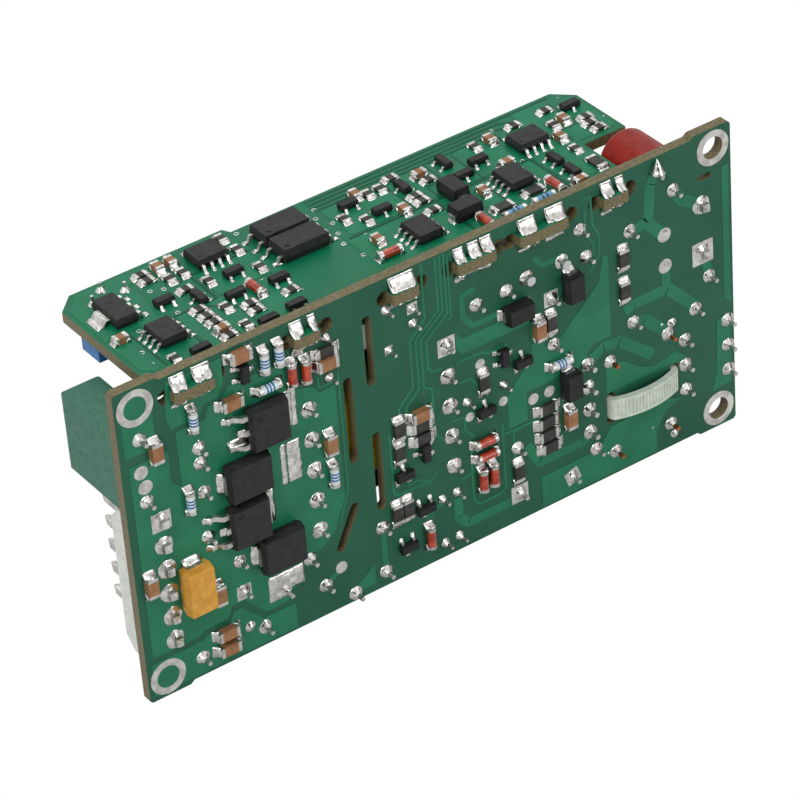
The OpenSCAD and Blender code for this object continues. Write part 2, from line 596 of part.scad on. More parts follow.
module control_end_caps() color([0.8, 0.8, 0.78]) on_board() {
    for (p = CTL_RESISTORS) on_control(p) chip_ends(small_chip[0], small_chip[1], small_chip[2]);
    for (p = CTL_LARGE) on_control(p) chip_ends(chip[0], chip[1], chip[2]);
    for (p = CTL_CAPACITORS) on_control(p)
        chip_ends(small_mlcc[0], small_mlcc[1], small_mlcc[2]);
    for (p = concat(CTL_CYLINDERS, CTL_GLASS)) on_control(p) melf_ends();
}

// --- Trimmer -------------------------------------------------------------------------------

rotor_z = ctl_z - flat - trim_w / 2;
trim_face = TRIM[1] + trim_d / 2;

module trimmer_body() {
    w = trim_w / 2;
    color([0.27, 0.55, 0.78]) on_board() difference() {
        union() {
            translate([TRIM[0] - w, TRIM[1] - trim_d / 2, rotor_z - w])
                cube([trim_w, trim_d, trim_w]);
            for (s = [-1, 1]) translate([TRIM[0] + s * (w - 0.6) - 0.5, TRIM[1] - trim_d / 2, ctl_z - flat])
                cube([1, trim_d, flat]);
        }
        translate([TRIM[0], trim_face - rotor_sunk, rotor_z]) rotate([-90, 0, 0])
            cylinder(d = rotor_d + 2 * rotor_gap, h = 5);
        for (p = TRIM_PINS) translate([p[0], p[1], ctl_z - flat])
            cylinder(d = trim_pin_d + 2 * hole_gap, h = 2 * flat, $fn = 24);
    }
}

module trimmer_rotor() {
    color([0.9, 0.9, 0.87]) on_board()
        translate([TRIM[0], trim_face - rotor_sunk, rotor_z]) rotate([-90, 0, 0]) difference() {
            cylinder(d = rotor_d, h = rotor_sunk + rotor_proud);
            translate([-0.4, -rotor_d, rotor_sunk + rotor_proud - slot_depth])
                cube([0.8, 2 * rotor_d, 2]);
        }
}

module trimmer_pins() {
    color([0.8, 0.8, 0.78]) on_board() for (p = TRIM_PINS) translate([p[0], p[1], ctl_z - flat])
        cylinder(d = trim_pin_d, h = flat + ctl_t + joint_h + 0.3, $fn = 24);
}

// --- Capacitors ----------------------------------------------------------------------------

// Upright can with its rubber foot, crimp and rolled top
module can(d, h) {
    r = d / 2;
    neck = r - d * 0.04;
    difference() {
        rotate_extrude() polygon([[0, 0], [r * 0.86, 0], [r, 0.5], [r, 1.8], [neck, 2.3],
            [neck, 2.8], [r, 3.3], [r, h - 0.6], [r - 0.6, h], [0, h]]);
        for (a = [0, 90]) rotate(a) translate([-r * 0.6, -0.12, h - 0.3]) cube([r * 1.2, 0.24, 1]);
    }
}

// Standing round disc of dipped ceramic, its axis along Z of the board turned by a
module disc(d, t, a) rotate(a) translate([0, 0, disc_lift + d / 2]) rotate([90, 0, 0])
    rotate_extrude() polygon([[0, -t / 2], [d / 2 - 0.9, -t / 2], [d / 2 - 0.2, -t / 4],
        [d / 2, 0], [d / 2 - 0.2, t / 4], [d / 2 - 0.9, t / 2], [0, t / 2]]);

module film_capacitor() {
    color([0.2, 0.42, 0.33]) on_board() translate([FILM[0] - film_w / 2, board_t, FILM[1] - film_d / 2]) {
        translate([0, flat, 0]) linear_extrude(film_d) polygon([[0, 0], [film_w, 0],
            [film_w, film_h - flat - 0.3], [film_w - 0.3, film_h - flat], [0.3, film_h - flat],
            [0, film_h - flat - 0.3]]);
        for (x = [0, film_w - 0.8], z = [0, film_d - 0.8]) translate([x, 0, z])
            cube([0.8, flat, 0.8]);
    }
}
module bulk_capacitor_1() color([0.12, 0.13, 0.18]) on_board() part_side(BULK[0]) can(bulk_d, bulk_h);
module bulk_capacitor_2() color([0.12, 0.13, 0.18]) on_board() part_side(BULK[1]) can(bulk_d, bulk_h);
module output_capacitors() color([0.13, 0.14, 0.2]) on_board() {
    part_side(OUT_CAP) can(out_d, out_h);
    part_side(OUT_CAP_2) can(out_2_d, out_h);
    translate([OUT_CAP_3[0], board_t + out_3_d / 2 + flat, OUT_CAP_3[1]]) rotate([0, 90, 0])
        can(out_3_d, out_3_l);
}
module small_capacitors() color([0.12, 0.13, 0.18]) on_board() {
    part_side(SUPPLY) can(supply_d, supply_h);
    part_side(BYPASS) can(bypass_d, bypass_h);
}
module line_capacitor() {
    l = 18;
    w = 8.5;
    h = 14.5;
    color([0.75, 0.75, 0.72]) on_board() translate([LINE[0] - w / 2, board_t, LINE[1] - l / 2]) {
        translate([0, flat, 0]) cube([w, h - flat, l]);
        for (x = [0, w - 1], z = [0, l - 1]) translate([x, 0, z]) cube([1, flat, 1]);
    }
}
module safety_capacitors() color([0.2, 0.4, 0.62]) on_board()
    for (c = YCAPS) part_side(c) disc(c[3], disc_t, -c[2]);
module thermistor() color([0.2, 0.22, 0.2]) on_board() part_side(THERM) disc(therm_d, 3, -therm_turn);
module varistor() color([0.2, 0.36, 0.6]) on_board() part_side(VAR) disc(var_d, 2.9, 90);

// --- Connectors and fuses ------------------------------------------------------------------

// Base with a friction wall on the side that points along +X, pins along the height
module header(count) {
    l = count * pin_pitch;
    slope = 1.9;
    rotate([90, 0, 90]) translate([0, 0, -header_w / 2]) linear_extrude(header_w - 1.2)
        polygon([[0, 0], [header_h - slope, 0], [header_h, slope], [header_h, l - slope],
            [header_h - slope, l], [0, l]]);
    rotate([90, 0, 90]) translate([0, 0, header_w / 2 - 1.2]) linear_extrude(1.2)
        polygon([[0, 0], [wall_h - 1, 0], [wall_h, 1], [wall_h, l - 1], [wall_h - 1, l], [0, l]]);
    translate([header_w / 2 - 1.7, wall_h - 1.6, 1.5]) cube([0.6, 0.8, l - 3]);
}
module header_holes(pins) for (p = pins) translate([p[0], board_t - 1, p[1]]) rotate([-90, 0, 0])
    translate([-pin_w / 2, -pin_w / 2, 0]) cube([pin_w, pin_w, header_h + 3]);

OUT_HEADER = [for (i = [0 : out_count - 1]) PIN_ROWS[i]];
IN_HEADER = [for (i = [0, 1]) PIN_ROWS[out_count + i]];

module output_header() color([0.86, 0.88, 0.86]) on_board() difference() {
    translate([OUT_PINS[0] - 0.15, board_t, OUT_PINS[1] - pin_pitch / 2]) header(out_count);
    header_holes(OUT_HEADER);
}
module input_header() color([0.86, 0.88, 0.86]) on_board() difference() {
    translate([IN_PINS[0] - 0.05, board_t, IN_PINS[1] - pin_pitch / 2]) mirror([1, 0, 0])
        header(in_count);
    header_holes(IN_HEADER);
}

// Square pin with pointed ends, from under the board to its tip
module pin() {
    tip = pin_w * 0.9;
    out = joint_h + 0.5;
    w = pin_w / 2;
    intersection_for(a = [0, 90]) rotate(a) rotate([90, 0, 0]) linear_extrude(pin_w, center = true)
        polygon([[-w / 2, -out], [w / 2, -out], [w, 0.5 - out], [w, board_t + pin_h - tip],
            [w * 0.35, board_t + pin_h], [-w * 0.35, board_t + pin_h],
            [-w, board_t + pin_h - tip], [-w, 0.5 - out]]);
}
module pins(places) color([0.78, 0.78, 0.77]) on_board() for (p = places)
    translate([p[0], 0, p[1]]) rotate([-90, 0, 0]) pin();
module output_pins() pins(OUT_HEADER);
module input_pins() pins(IN_HEADER);

module radial_fuse() {
    r = fuse_d / 2;
    edge = 0.9;
    rotate_extrude() polygon(concat([[0, 0], [r - 0.3, 0], [r, 0.3]],
        [for (a = [0 : 15 : 90]) [r - edge + edge * cos(a), fuse_h - edge + edge * sin(a)]],
        [[0, fuse_h]]));
}
module fuse_1() color([0.55, 0.12, 0.08]) on_board() part_side(FUSES[0]) radial_fuse();
module fuse_2() color([0.55, 0.12, 0.08]) on_board() part_side(FUSES[1]) radial_fuse();

// --- Line choke and its tie ----------------------------------------------------------------

coil_r = ring_d / 2 + winding_t;
ring_y = board_t + coil_r + 0.5;
tie_r = coil_r + 0.15;

// Ring core standing on edge, its axis along the height
module choke_core() {
    r1 = ring_hole / 2;
    r2 = ring_d / 2;
    h = ring_t / 2;
    b = 0.5;
    color([0.2, 0.42, 0.3]) on_board() translate([RING[0], ring_y, RING[1]])
        rotate_extrude() polygon([[r1, b - h], [r1 + b, -h], [r2 - b, -h], [r2, b - h],
            [r2, h - b], [r2 - b, h], [r1 + b, h], [r1, h - b]]);
}

// Two windings of round wire, each turn a frame round the ring's section, and their leads
module choke_windings() {
    t = winding_t - 0.1;
    inner = ring_hole / 2 - 0.05;
    outer = ring_d / 2 + 0.05;
    turns = 7;
    h = ring_t + 0.1;
    color([0.72, 0.4, 0.18]) on_board() {
        translate([RING[0], ring_y, RING[1]]) for (side = [0, 180], i = [0 : turns - 1])
            rotate(side + (i - (turns - 1) / 2) * 18) rotate([90, 0, 0]) difference() {
                translate([inner - t, -h / 2 - t, -t / 2]) cube([outer - inner + 2 * t, h + 2 * t, t]);
                translate([inner, -h / 2, -1]) cube([outer - inner, h, 2]);
            }
        for (p = CHOKE_LEADS) {
            up = p[1] > RING[1] ? 1 : -1;
            side = p[0] > RING[0] ? 1 : -1;
            end_a = [RING[0] + side * (outer - 1.2), ring_y - 2.2];
            board_wire(p, end_a[1] + wire_d / 2);
            along([p[0], end_a[1], p[1]], [end_a[0], end_a[1], RING[1] + up * (h / 2 + t)],
                wire_d - 0.02);
        }
    }
}

// A wire from one point to another
module along(a, b, d) {
    v = b - a;
    translate(a) rotate([0, acos(v[2] / norm(v)), atan2(v[1], v[0])])
        cylinder(d = d, h = norm(v), $fn = 24);
}

// Band round the choke, down through both slots and bowed across the solder side
module cable_tie() {
    half = (TIE_X[1] - TIE_X[0]) / 2 - tie_t / 2 - 0.1;
    knee = [-half, -0.1];
    away = knee - [0, ring_y];
    lean = 360 + atan2(away[1], away[0]) - acos(tie_r / norm(away));
    bow_r = (half * half + tie_bulge * tie_bulge) / (2 * tie_bulge);
    bow = [0, knee[1] - tie_bulge + bow_r];
    spread = asin(half / bow_r);
    // outline of everything inside the band, grown by the band's thickness for its outer face
    function outline(grow) = concat(
        [for (i = [0 : 30]) polar([0, ring_y], tie_r + grow, 180 - lean + (2 * lean - 180) * i / 30)],
        bend(knee, grow, lean, 270 - spread),
        [for (i = [1 : 19]) polar(bow, bow_r + grow, 270 + spread * (i / 10 - 1))],
        bend([-knee[0], knee[1]], grow, 270 + spread, 540 - lean));
    function bend(p, grow, a, b) = grow == 0 ? [p]
        : [for (i = [0 : 4]) polar(p, grow, a + (b - a) * i / 4)];
    ribs = 20;
    head = [5.2, 3.2, 4.8];
    color([0.82, 0.86, 0.82]) on_board() {
        difference() {
            translate([RING[0], 0, TIE_Z - tie_w / 2]) linear_extrude(tie_w) difference() {
                polygon(outline(tie_t));
                polygon(outline(0));
            }
            for (i = [0 : ribs - 1]) translate([RING[0], bow[1], TIE_Z])
                rotate(270 + (i - (ribs - 1) / 2) * 2 * spread / ribs)
                    translate([bow_r + tie_t, 0, 0]) cube([0.24, 0.28, tie_w - 0.9], center = true);
        }
        translate([RING[0] - head[0] / 2, ring_y + tie_r + tie_t / 3, TIE_Z - head[2] / 2])
            cube(head);
        translate([RING[0] - head[0] / 2 - 1.4, ring_y + tie_r + tie_t + 0.6, TIE_Z - tie_w / 2])
            cube([2, tie_t, tie_w]);
    }
}

// --- Transformer ---------------------------------------------------------------------------

core_y = board_t + core_lift + core_t / 2;

module e_half() {
    translate([0, -core_t / 2, -core_w / 2]) difference() {
        cube([core_l / 2, core_t, core_w]);
        for (z = [side_w, core_w / 2 + leg_w / 2]) translate([-1, -1, z])
            cube([window_l / 2 + 1, core_t + 2, (core_w - leg_w) / 2 - side_w]);
    }
}
module transformer_core() color([0.16, 0.16, 0.17]) on_board()
    translate([CORE[0], core_y, CORE[1]]) for (m = [0, 1]) mirror([m, 0, 0]) e_half();

module transformer_bobbin() {
    gap = 0.2;
    tube_y = core_t / 2 + gap + 0.8;
    tube_z = leg_w / 2 + gap + 0.8;
    flange_x = window_l / 2 - gap;
    flange_z = core_w / 2 - side_w - gap;
    flange_y = core_t / 2 + 3.9;
    rail_top = core_y - core_t / 2;
    rail_l = core_w - 1;
    from = rail_x - rail_in;
    to = core_l / 2 - 0.03;
    color([0.13, 0.13, 0.13]) on_board() translate([CORE[0], 0, CORE[1]]) {
        difference() {
            union() {
                translate([-flange_x, core_y - tube_y, -tube_z]) cube([2 * flange_x, 2 * tube_y, 2 * tube_z]);
                for (s = [-1, 1]) translate([s * (flange_x - 0.4) - 0.4, core_y - flange_y, -flange_z])
                    cube([0.8, 2 * flange_y, 2 * flange_z]);
            }
            translate([-window_l, core_y - core_t / 2 - gap, -leg_w / 2 - gap])
                cube([2 * window_l, core_t + 2 * gap, leg_w + 2 * gap]);
        }
        for (m = [0, 1]) mirror([m, 0, 0]) difference() {
            translate([from, board_t + flat, -rail_l / 2])
                cube([to - from, rail_top - board_t - flat, rail_l]);
            for (p = row([0, 0], row_pitch, 4, 90)) translate([from - 1, board_t, p[1] - 0.8])
                cube([to - from + 2, 1, 1.6]);
        }
    }
}

module transformer_winding() {
    x = window_l / 2 - 1.1;
    z = core_w / 2 - side_w - 0.75;
    y = core_t / 2 + 3.5;
    r = 2.5;
    gap = 1.05;
    color([0.85, 0.72, 0.15]) on_board() translate([CORE[0], core_y, CORE[1]]) difference() {
        union() {
            translate([-x, -y, r - z]) cube([2 * x, 2 * y, 2 * (z - r)]);
            translate([-x, r - y, -z]) cube([2 * x, 2 * (y - r), 2 * z]);
            for (sy = [-1, 1], sz = [-1, 1]) translate([-x, sy * (y - r), sz * (z - r)])
                rotate([0, 90, 0]) cylinder(r = r, h = 2 * x);
        }
        translate([-window_l, -core_t / 2 - gap, -leg_w / 2 - gap])
            cube([2 * window_l, core_t + 2 * gap, leg_w + 2 * gap]);
    }
}

// --- Pulse transformer, couplers, bridge, choke --------------------------------------------

pulse_y = board_t + 5.4;

module pulse_transformer_core() color([0.17, 0.17, 0.18]) on_board()
    translate([PULSE[0], pulse_y, PULSE[1]]) difference() {
        window = (pulse_core_w - pulse_leg) / 2 - pulse_side;
        cube([pulse_l, pulse_core_t, pulse_core_w], center = true);
        for (s = [-1, 1]) translate([0, 0, s * (pulse_leg + window) / 2])
            cube([pulse_l - 3, pulse_core_t + 2, window], center = true);
    }
module pulse_transformer_bobbin() {
    gap = 0.1;
    rail_l = pulse_w + 1;
    low = pulse_y - pulse_core_t / 2;
    coil_y = pulse_core_t / 2 + 1.5;
    coil_z = pulse_core_w / 2 - 0.05;
    limb = pulse_core_w / 2 - pulse_side - gap;
    color([0.9, 0.91, 0.88]) on_board() translate([PULSE[0], 0, PULSE[1]]) {
        for (s = [-1, 1]) translate([s * pulse_l / 2 - 0.9, board_t + flat, -rail_l / 2])
            cube([1.8, low - board_t - flat, rail_l]);
        difference() {
            translate([gap + 1.5 - pulse_l / 2, pulse_y - coil_y, -coil_z])
                cube([pulse_l - 3 - 2 * gap, 2 * coil_y, 2 * coil_z]);
            translate([-pulse_l / 2, low - gap, -pulse_leg / 2 - gap])
                cube([pulse_l, pulse_core_t + 2 * gap, pulse_leg + 2 * gap]);
            for (m = [0, 1]) mirror([0, 0, m]) translate([-pulse_l / 2, low - gap, limb])
                cube([pulse_l, pulse_core_t + 2 * gap, 2]);
        }
        translate([1.7, board_t, -0.7]) rotate([-90, 0, 0])
            cylinder(d = 4, h = pulse_y - coil_y - board_t);
    }
}

module isolating_coupler() color([0.88, 0.88, 0.85]) on_board() part_side([DIP[0], DIP[1]])
    translate([0, 0, 0.5]) moulded(4.6, 6.4, 3.4, 0.2);

module bridge_rectifier() {
    w = 3;
    l = 14.4;
    h = 10.6;
    color([0.15, 0.15, 0.16]) on_board() translate([BRIDGE[0] - 0.4, board_t + 3.4, BRIDGE[1]])
        difference() {
            translate([-w / 2, 0, -l / 2]) cube([w, h, l]);
            translate([0, h, l / 2]) rotate([0, 0, 0]) rotate([45, 0, 0])
                cube([w + 1, 2.4, 2.4], center = true);
        }
}

module output_choke() {
    l = 7;
    y = board_t + rod_coil_d / 2 + flat;
    turn_w = 0.8;
    color([0.3, 0.3, 0.31]) on_board() translate([ROD[0] - l / 2, y, ROD[1]]) rotate([0, 90, 0]) {
        cylinder(d = rod_d, h = l);
        for (i = [0 : 7]) translate([0, 0, 0.45 + i * (l - 1.7) / 7]) rotate_extrude()
            translate([rod_d / 2 - 0.1, 0]) square([(rod_coil_d - rod_d) / 2 + 0.1, turn_w * 0.75]);
    }
}

// --- Heat sink -----------------------------------------------------------------------------

screw_y = board_t + 4.4 + 13;

module heat_sink() {
    color([0.72, 0.73, 0.74]) on_board() difference() {
        union() {
            translate([SINK_X[0], board_t + flat, sink_z]) cube([SINK_X[1] - SINK_X[0], sink_h, sink_t]);
            translate([64.6, board_t + flat, foot_z - 1]) cube([8.3, 1.2, sink_z - foot_z + 1.2]);
            for (p = SINK_POSTS) translate([p[0], -1.2, p[1]]) rotate([-90, 0, 0])
                cylinder(d = 1.4, h = board_t + 1.2 + flat + 0.2, $fn = 24);
        }
        translate([SWITCH_X, screw_y, sink_z - 1]) cylinder(d = 2.7, h = 5);
    }
}

// Package of a power transistor flat against the heat sink, its middle lead cut short
module heat_sink_transistor() {
    w = 10;
    h = 9;
    t = 4.2;
    tab_t = 1.2;
    color([0.15, 0.15, 0.16]) on_board() translate([SWITCH_X, board_t + 4.4, sink_z]) {
        translate([-w / 2, 0, -t]) cube([w, h, t]);
        difference() {
            translate([-w / 2, h, -tab_t]) cube([w, 6.3, tab_t]);
            translate([0, screw_y - board_t - 4.4, -5]) cylinder(d = 3.4, h = 10);
        }
    }
}
module transistor_screw() color([0.6, 0.6, 0.6]) on_board() translate([SWITCH_X, screw_y, 0]) {
    difference() {
        translate([0, 0, sink_z - 1.2 - 2.2]) cylinder(d = 5.2, h = 2.2);
        translate([-3, -0.4, sink_z - 3.8]) cube([6, 0.8, 1.2]);
    }
    translate([0, 0, sink_z - 1.2]) cylinder(d = 2.5, h = sink_t + 1.2 + 0.6);
}

// --- Wires ---------------------------------------------------------------------------------

// Straight cut wire through the board, up to a height over the solder side
module board_wire(p, top, d = wire_d, cut = lead_cut) translate([p[0], -cut, p[1]])
    rotate([-90, 0, 0]) cylinder(d = d, h = cut + top, $fn = 24);

module component_leads() color([0.8, 0.8, 0.78]) on_board() {
    for (w = WIRES) board_wire(w[0], board_t + w[2], w[1], len(w) > 4 ? w[4] : lead_cut);
    // the lying output capacitor: down from its face
    y3 = board_t + out_3_d / 2 + flat;
    for (p = pair([out_3_x, OUT_CAP_3[1]], out_3_pitch, 90)) {
        board_wire(p, y3 + wire_d / 2);
        along([p[0], y3, p[1]], [OUT_CAP_3[0], y3, p[1]], wire_d - 0.02);
    }
    // the rod choke: down from both ends of the rod
    yr = board_t + rod_coil_d / 2 + flat;
    for (s = [-1, 1]) {
        x = ROD[0] + s * rod_pitch / 2;
        board_wire([x, ROD[1]], yr + wire_d / 2);
        along([x, yr, ROD[1]], [ROD[0] + s * 3.5, yr, ROD[1]], wire_d - 0.02);
    }
    // the standing resistor: one end straight down, the other looped over and down beside it
    ends = pair(RESISTOR, resistor_pitch, 100);
    top = board_t + 9.5;
    board_wire(ends[0], top + wire_d / 2);
    board_wire(ends[1], top + wire_d / 2);
    along([ends[0][0], top, ends[0][1]], [ends[1][0], top, ends[1][1]], wire_d - 0.02);
    translate([ends[1][0], board_t + 1, ends[1][1]]) rotate([-90, 0, 0])
        cylinder(d = 2.4, h = top - board_t - 1.8, $fn = 24);
}

// Jumper that runs beside the lying capacitor's leads
module wire_link() color([0.8, 0.8, 0.78]) on_board() {
    y = board_t + 0.6;
    x = out_3_x - 1.3;
    for (p = LINKS) {
        board_wire(p, y + wire_d / 2);
        along([p[0], y, p[1]], [x - wire_d / 2, y, p[1]], wire_d - 0.02);
    }
    along([x, y, LINKS[0][1]], [x, y, LINKS[1][1]], wire_d - 0.06);
}

main_board();
mounting_pads();
control_board();
solder_joints();
tab_solder();
power_transistors();
large_diodes();
tantalum_capacitor();
power_terminals();
solder_side_resistors();
solder_side_capacitors();
solder_side_cylinders();
solder_side_glass_diodes();
solder_side_end_caps();
solder_side_packages();
solder_side_package_leads();
control_circuits();
control_couplers();
control_packages();
control_package_leads();
control_resistors();
control_capacitors();
control_cylinders();
control_glass_diodes();
control_end_caps();
trimmer_body();
trimmer_rotor();
trimmer_pins();
film_capacitor();
output_header();
output_pins();
input_header();
input_pins();
fuse_1();
fuse_2();
cable_tie();
transformer_core();
transformer_bobbin();
transformer_winding();
bulk_capacitor_1();
bulk_capacitor_2();
bridge_rectifier();
thermistor();
varistor();
line_capacitor();
safety_capacitors();
choke_core();
choke_windings();
heat_sink();
heat_sink_transistor();
transistor_screw();
small_capacitors();
output_capacitors();
output_choke();
pulse_transformer_core();
pulse_transformer_bobbin();
isolating_coupler();
component_leads();
wire_link();
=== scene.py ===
"""Looks of the open frame power supply: solder, copper, lacquer, mouldings, stage and light."""
import math
import random

import bmesh
import bpy
import numpy as np
from mathutils import Matrix, Vector, noise


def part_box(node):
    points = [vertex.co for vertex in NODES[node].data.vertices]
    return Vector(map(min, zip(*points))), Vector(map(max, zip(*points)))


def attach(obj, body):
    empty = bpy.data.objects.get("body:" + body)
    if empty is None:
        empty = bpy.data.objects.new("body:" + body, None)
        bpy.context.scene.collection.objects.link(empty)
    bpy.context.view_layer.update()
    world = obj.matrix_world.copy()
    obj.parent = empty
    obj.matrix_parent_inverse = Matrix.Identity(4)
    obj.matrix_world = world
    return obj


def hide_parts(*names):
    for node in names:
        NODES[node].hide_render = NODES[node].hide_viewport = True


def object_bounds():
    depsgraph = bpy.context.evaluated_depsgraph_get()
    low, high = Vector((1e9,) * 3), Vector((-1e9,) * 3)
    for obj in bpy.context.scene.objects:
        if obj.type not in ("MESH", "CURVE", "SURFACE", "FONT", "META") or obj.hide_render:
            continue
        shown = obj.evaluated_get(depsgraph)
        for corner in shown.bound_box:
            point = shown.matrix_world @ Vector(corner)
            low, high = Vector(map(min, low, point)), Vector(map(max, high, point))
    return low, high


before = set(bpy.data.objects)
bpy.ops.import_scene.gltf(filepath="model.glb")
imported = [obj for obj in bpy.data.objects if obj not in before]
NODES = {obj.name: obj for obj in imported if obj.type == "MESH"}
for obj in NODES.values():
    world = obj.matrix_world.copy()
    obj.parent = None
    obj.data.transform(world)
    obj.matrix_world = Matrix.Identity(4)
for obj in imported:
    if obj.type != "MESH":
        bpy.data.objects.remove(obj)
CAD_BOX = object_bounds()
BODY = "power_supply"
MM = 0.001

# ---- Places -------------------------------------------------------------------------------

CORNER = Vector(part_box("main_board")[0])
BOARD_TOP = Vector(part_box("main_board")[1])
CONTROL_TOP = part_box("control_board")[1][2]


def board_point(x, y, z):
    """A point given in mm from the main board's lower left corner on its solder side."""
    return Vector((CORNER.x + x * MM, y * MM, CORNER.z + z * MM))


def control_point(x, y, up=0.0):
    """A point in mm on top of the control board, up mm above it."""
    return Vector((CORNER.x + x * MM, y * MM, CONTROL_TOP + up * MM))


def solids(node):
    """The lowest and highest corner of each closed solid in a CAD node."""
    mesh = NODES[node].data
    points = np.empty(len(mesh.vertices) * 3)
    mesh.vertices.foreach_get("co", points)
    points = points.reshape(-1, 3)
    keys = np.round(points * 1e6).astype(np.int64)
    _, group = np.unique(keys, axis=0, return_inverse=True)
    group = group.reshape(-1)
    mesh.calc_loop_triangles()
    corners = np.empty(len(mesh.loop_triangles) * 3, dtype=np.int32)
    mesh.loop_triangles.foreach_get("vertices", corners)
    corners = group[corners.reshape(-1, 3)]
    root = np.arange(group.max() + 1)
    while True:
        low = root[corners].min(axis=1)
        new = root.copy()
        for column in range(3):
            np.minimum.at(new, corners[:, column], low)
        new = new[new]
        if np.array_equal(new, root):
            break
        root = new
    found = []
    for label in np.unique(root[group]):
        own = points[root[group] == label]
        found.append((Vector(own.min(axis=0)), Vector(own.max(axis=0))))
    return found


# ---- Materials ----------------------------------------------------------------------------

def colour(red, green, blue):
    """A linear colour from its red, green and blue on the usual 0 to 255 scale."""
    def linear(value):
        value /= 255
        return value / 12.92 if value < 0.04045 else ((value + 0.055) / 1.055) ** 2.4
    return (linear(red), linear(green), linear(blue), 1)


class Finish:
    """A node material that starts with a principled shader and object coordinates."""

    def __init__(self, name, base, rough=0.5, metal=0.0, coat=0.0, sheen=0.25):
        self.material = bpy.data.materials.new(name)
        self.material.use_nodes = True
        self.nodes = self.material.node_tree.nodes
        self.links = self.material.node_tree.links
        self.shader = self.nodes["Principled BSDF"]
        self.shader.inputs["Base Color"].default_value = base
        self.shader.inputs["Roughness"].default_value = rough
        self.shader.inputs["Metallic"].default_value = metal
        self.shader.inputs["Coat Weight"].default_value = coat
        self.shader.inputs["Specular IOR Level"].default_value = sheen
        self.shader.inputs["Coat Roughness"].default_value = 0.15
        self.place = self.nodes.new("ShaderNodeTexCoord")
        self.base = base

    def join(self, source, target):
        self.links.new(source, target)

    def grain(self, size, detail=4.0, stretch=(1, 1, 1), soft=0.5):
        """Noise with grains of about size mm."""
        mapping = self.nodes.new("ShaderNodeMapping")
        mapping.inputs["Scale"].default_value = stretch
        self.join(self.place.outputs["Object"], mapping.inputs["Vector"])
        texture = self.nodes.new("ShaderNodeTexNoise")
        texture.inputs["Scale"].default_value = 1 / (size * MM)
        texture.inputs["Detail"].default_value = detail
        texture.inputs["Roughness"].default_value = soft
        self.join(mapping.outputs["Vector"], texture.inputs["Vector"])
        return texture.outputs["Fac"]

    def spread(self, source, low, high, out_low=0.0, out_high=1.0):
        """Stretches a value from one range to another and cuts it off there."""
        node = self.nodes.new("ShaderNodeMapRange")
        for name, value in zip(("From Min", "From Max", "To Min", "To Max"),
                               (low, high, out_low, out_high)):
            node.inputs[name].default_value = value
        self.join(source, node.inputs["Value"])
        return node.outputs["Result"]

    def blend(self, factor, first, second):
        """Mixes two colours, each a colour or a socket."""
        node = self.nodes.new("ShaderNodeMix")
        node.data_type = "RGBA"
        for value, slot in ((first, 6), (second, 7)):
            if isinstance(value, tuple):
                node.inputs[slot].default_value = value
            else:
                self.join(value, node.inputs[slot])
        self.join(factor, node.inputs[0])
        return node.outputs[2]

    def paint(self, source):
        self.join(source, self.shader.inputs["Base Color"])
        return self

    def mottle(self, second, size, low=0.4, high=0.6):
        """Lets the base colour drift to a second one in patches."""
        return self.paint(self.blend(self.spread(self.grain(size), low, high), self.base, second))

    def wear(self, size, low, high):
        """Lets the roughness vary between two values."""
        self.join(self.spread(self.grain(size), 0.35, 0.65, low, high),
                  self.shader.inputs["Roughness"])
        return self

    def bump(self, size, depth, detail=3.0, stretch=(1, 1, 1)):
        """Bumps of about size mm, depth mm high."""
        node = self.nodes.new("ShaderNodeBump")
        node.inputs["Strength"].default_value = 1.0
        node.inputs["Distance"].default_value = depth * MM
        self.join(self.grain(size, detail, stretch), node.inputs["Height"])
        self.join(node.outputs["Normal"], self.shader.inputs["Normal"])
        return self

    def facing(self, axis):
        """1 where the surface faces along an axis, 0 where it doesn't."""
        split = self.nodes.new("ShaderNodeSeparateXYZ")
        self.join(self.place.outputs["Normal"], split.inputs[0])
        size = self.nodes.new("ShaderNodeMath")
        size.operation = "ABSOLUTE"
        self.join(split.outputs[axis], size.inputs[0])
        return self.spread(size.outputs[0], 0.6, 0.8)


def laminate(name, mask, shade, axis):
    """Solder mask on the faces, glass fibre in the cut edges, the fibre's tan darkened with painted
    shade.
    """
    finish = Finish(name, mask, rough=0.42)
    # Cut-edge colour: glass-fibre tan, darkened as painted shade for the shade the board's edges
    # sit in.
    shaded_fibre = finish.blend(finish.spread(finish.grain(0.5, 6, (1, 3, 3)), 0.4, 0.6),
                         colour(92, 84, 56), colour(126, 116, 84))
    skin = finish.blend(finish.spread(finish.grain(9), 0.35, 0.65), mask, shade)
    finish.paint(finish.blend(finish.facing(axis), shaded_fibre, skin))
    finish.wear(6, 0.36, 0.48)
    return finish.bump(0.35, 0.006).material


def copper_under_mask(name, mask, shade):
    return Finish(name, mask, rough=0.4).mottle(shade, 6).wear(4, 0.32, 0.46) \
        .bump(0.4, 0.008).material


def solder_metal(name, base, shade, rough=0.22):
    return Finish(name, base, rough, metal=1.0).mottle(shade, 0.9, 0.35, 0.7) \
        .wear(0.6, rough - 0.08, rough + 0.16).bump(0.7, 0.10, 2).material


def moulding(name, base, shade, rough=0.5, size=0.25, depth=0.012, coat=0.0):
    return Finish(name, base, rough, coat=coat).mottle(shade, 1.2) \
        .wear(0.8, rough - 0.08, rough + 0.1).bump(size, depth).material


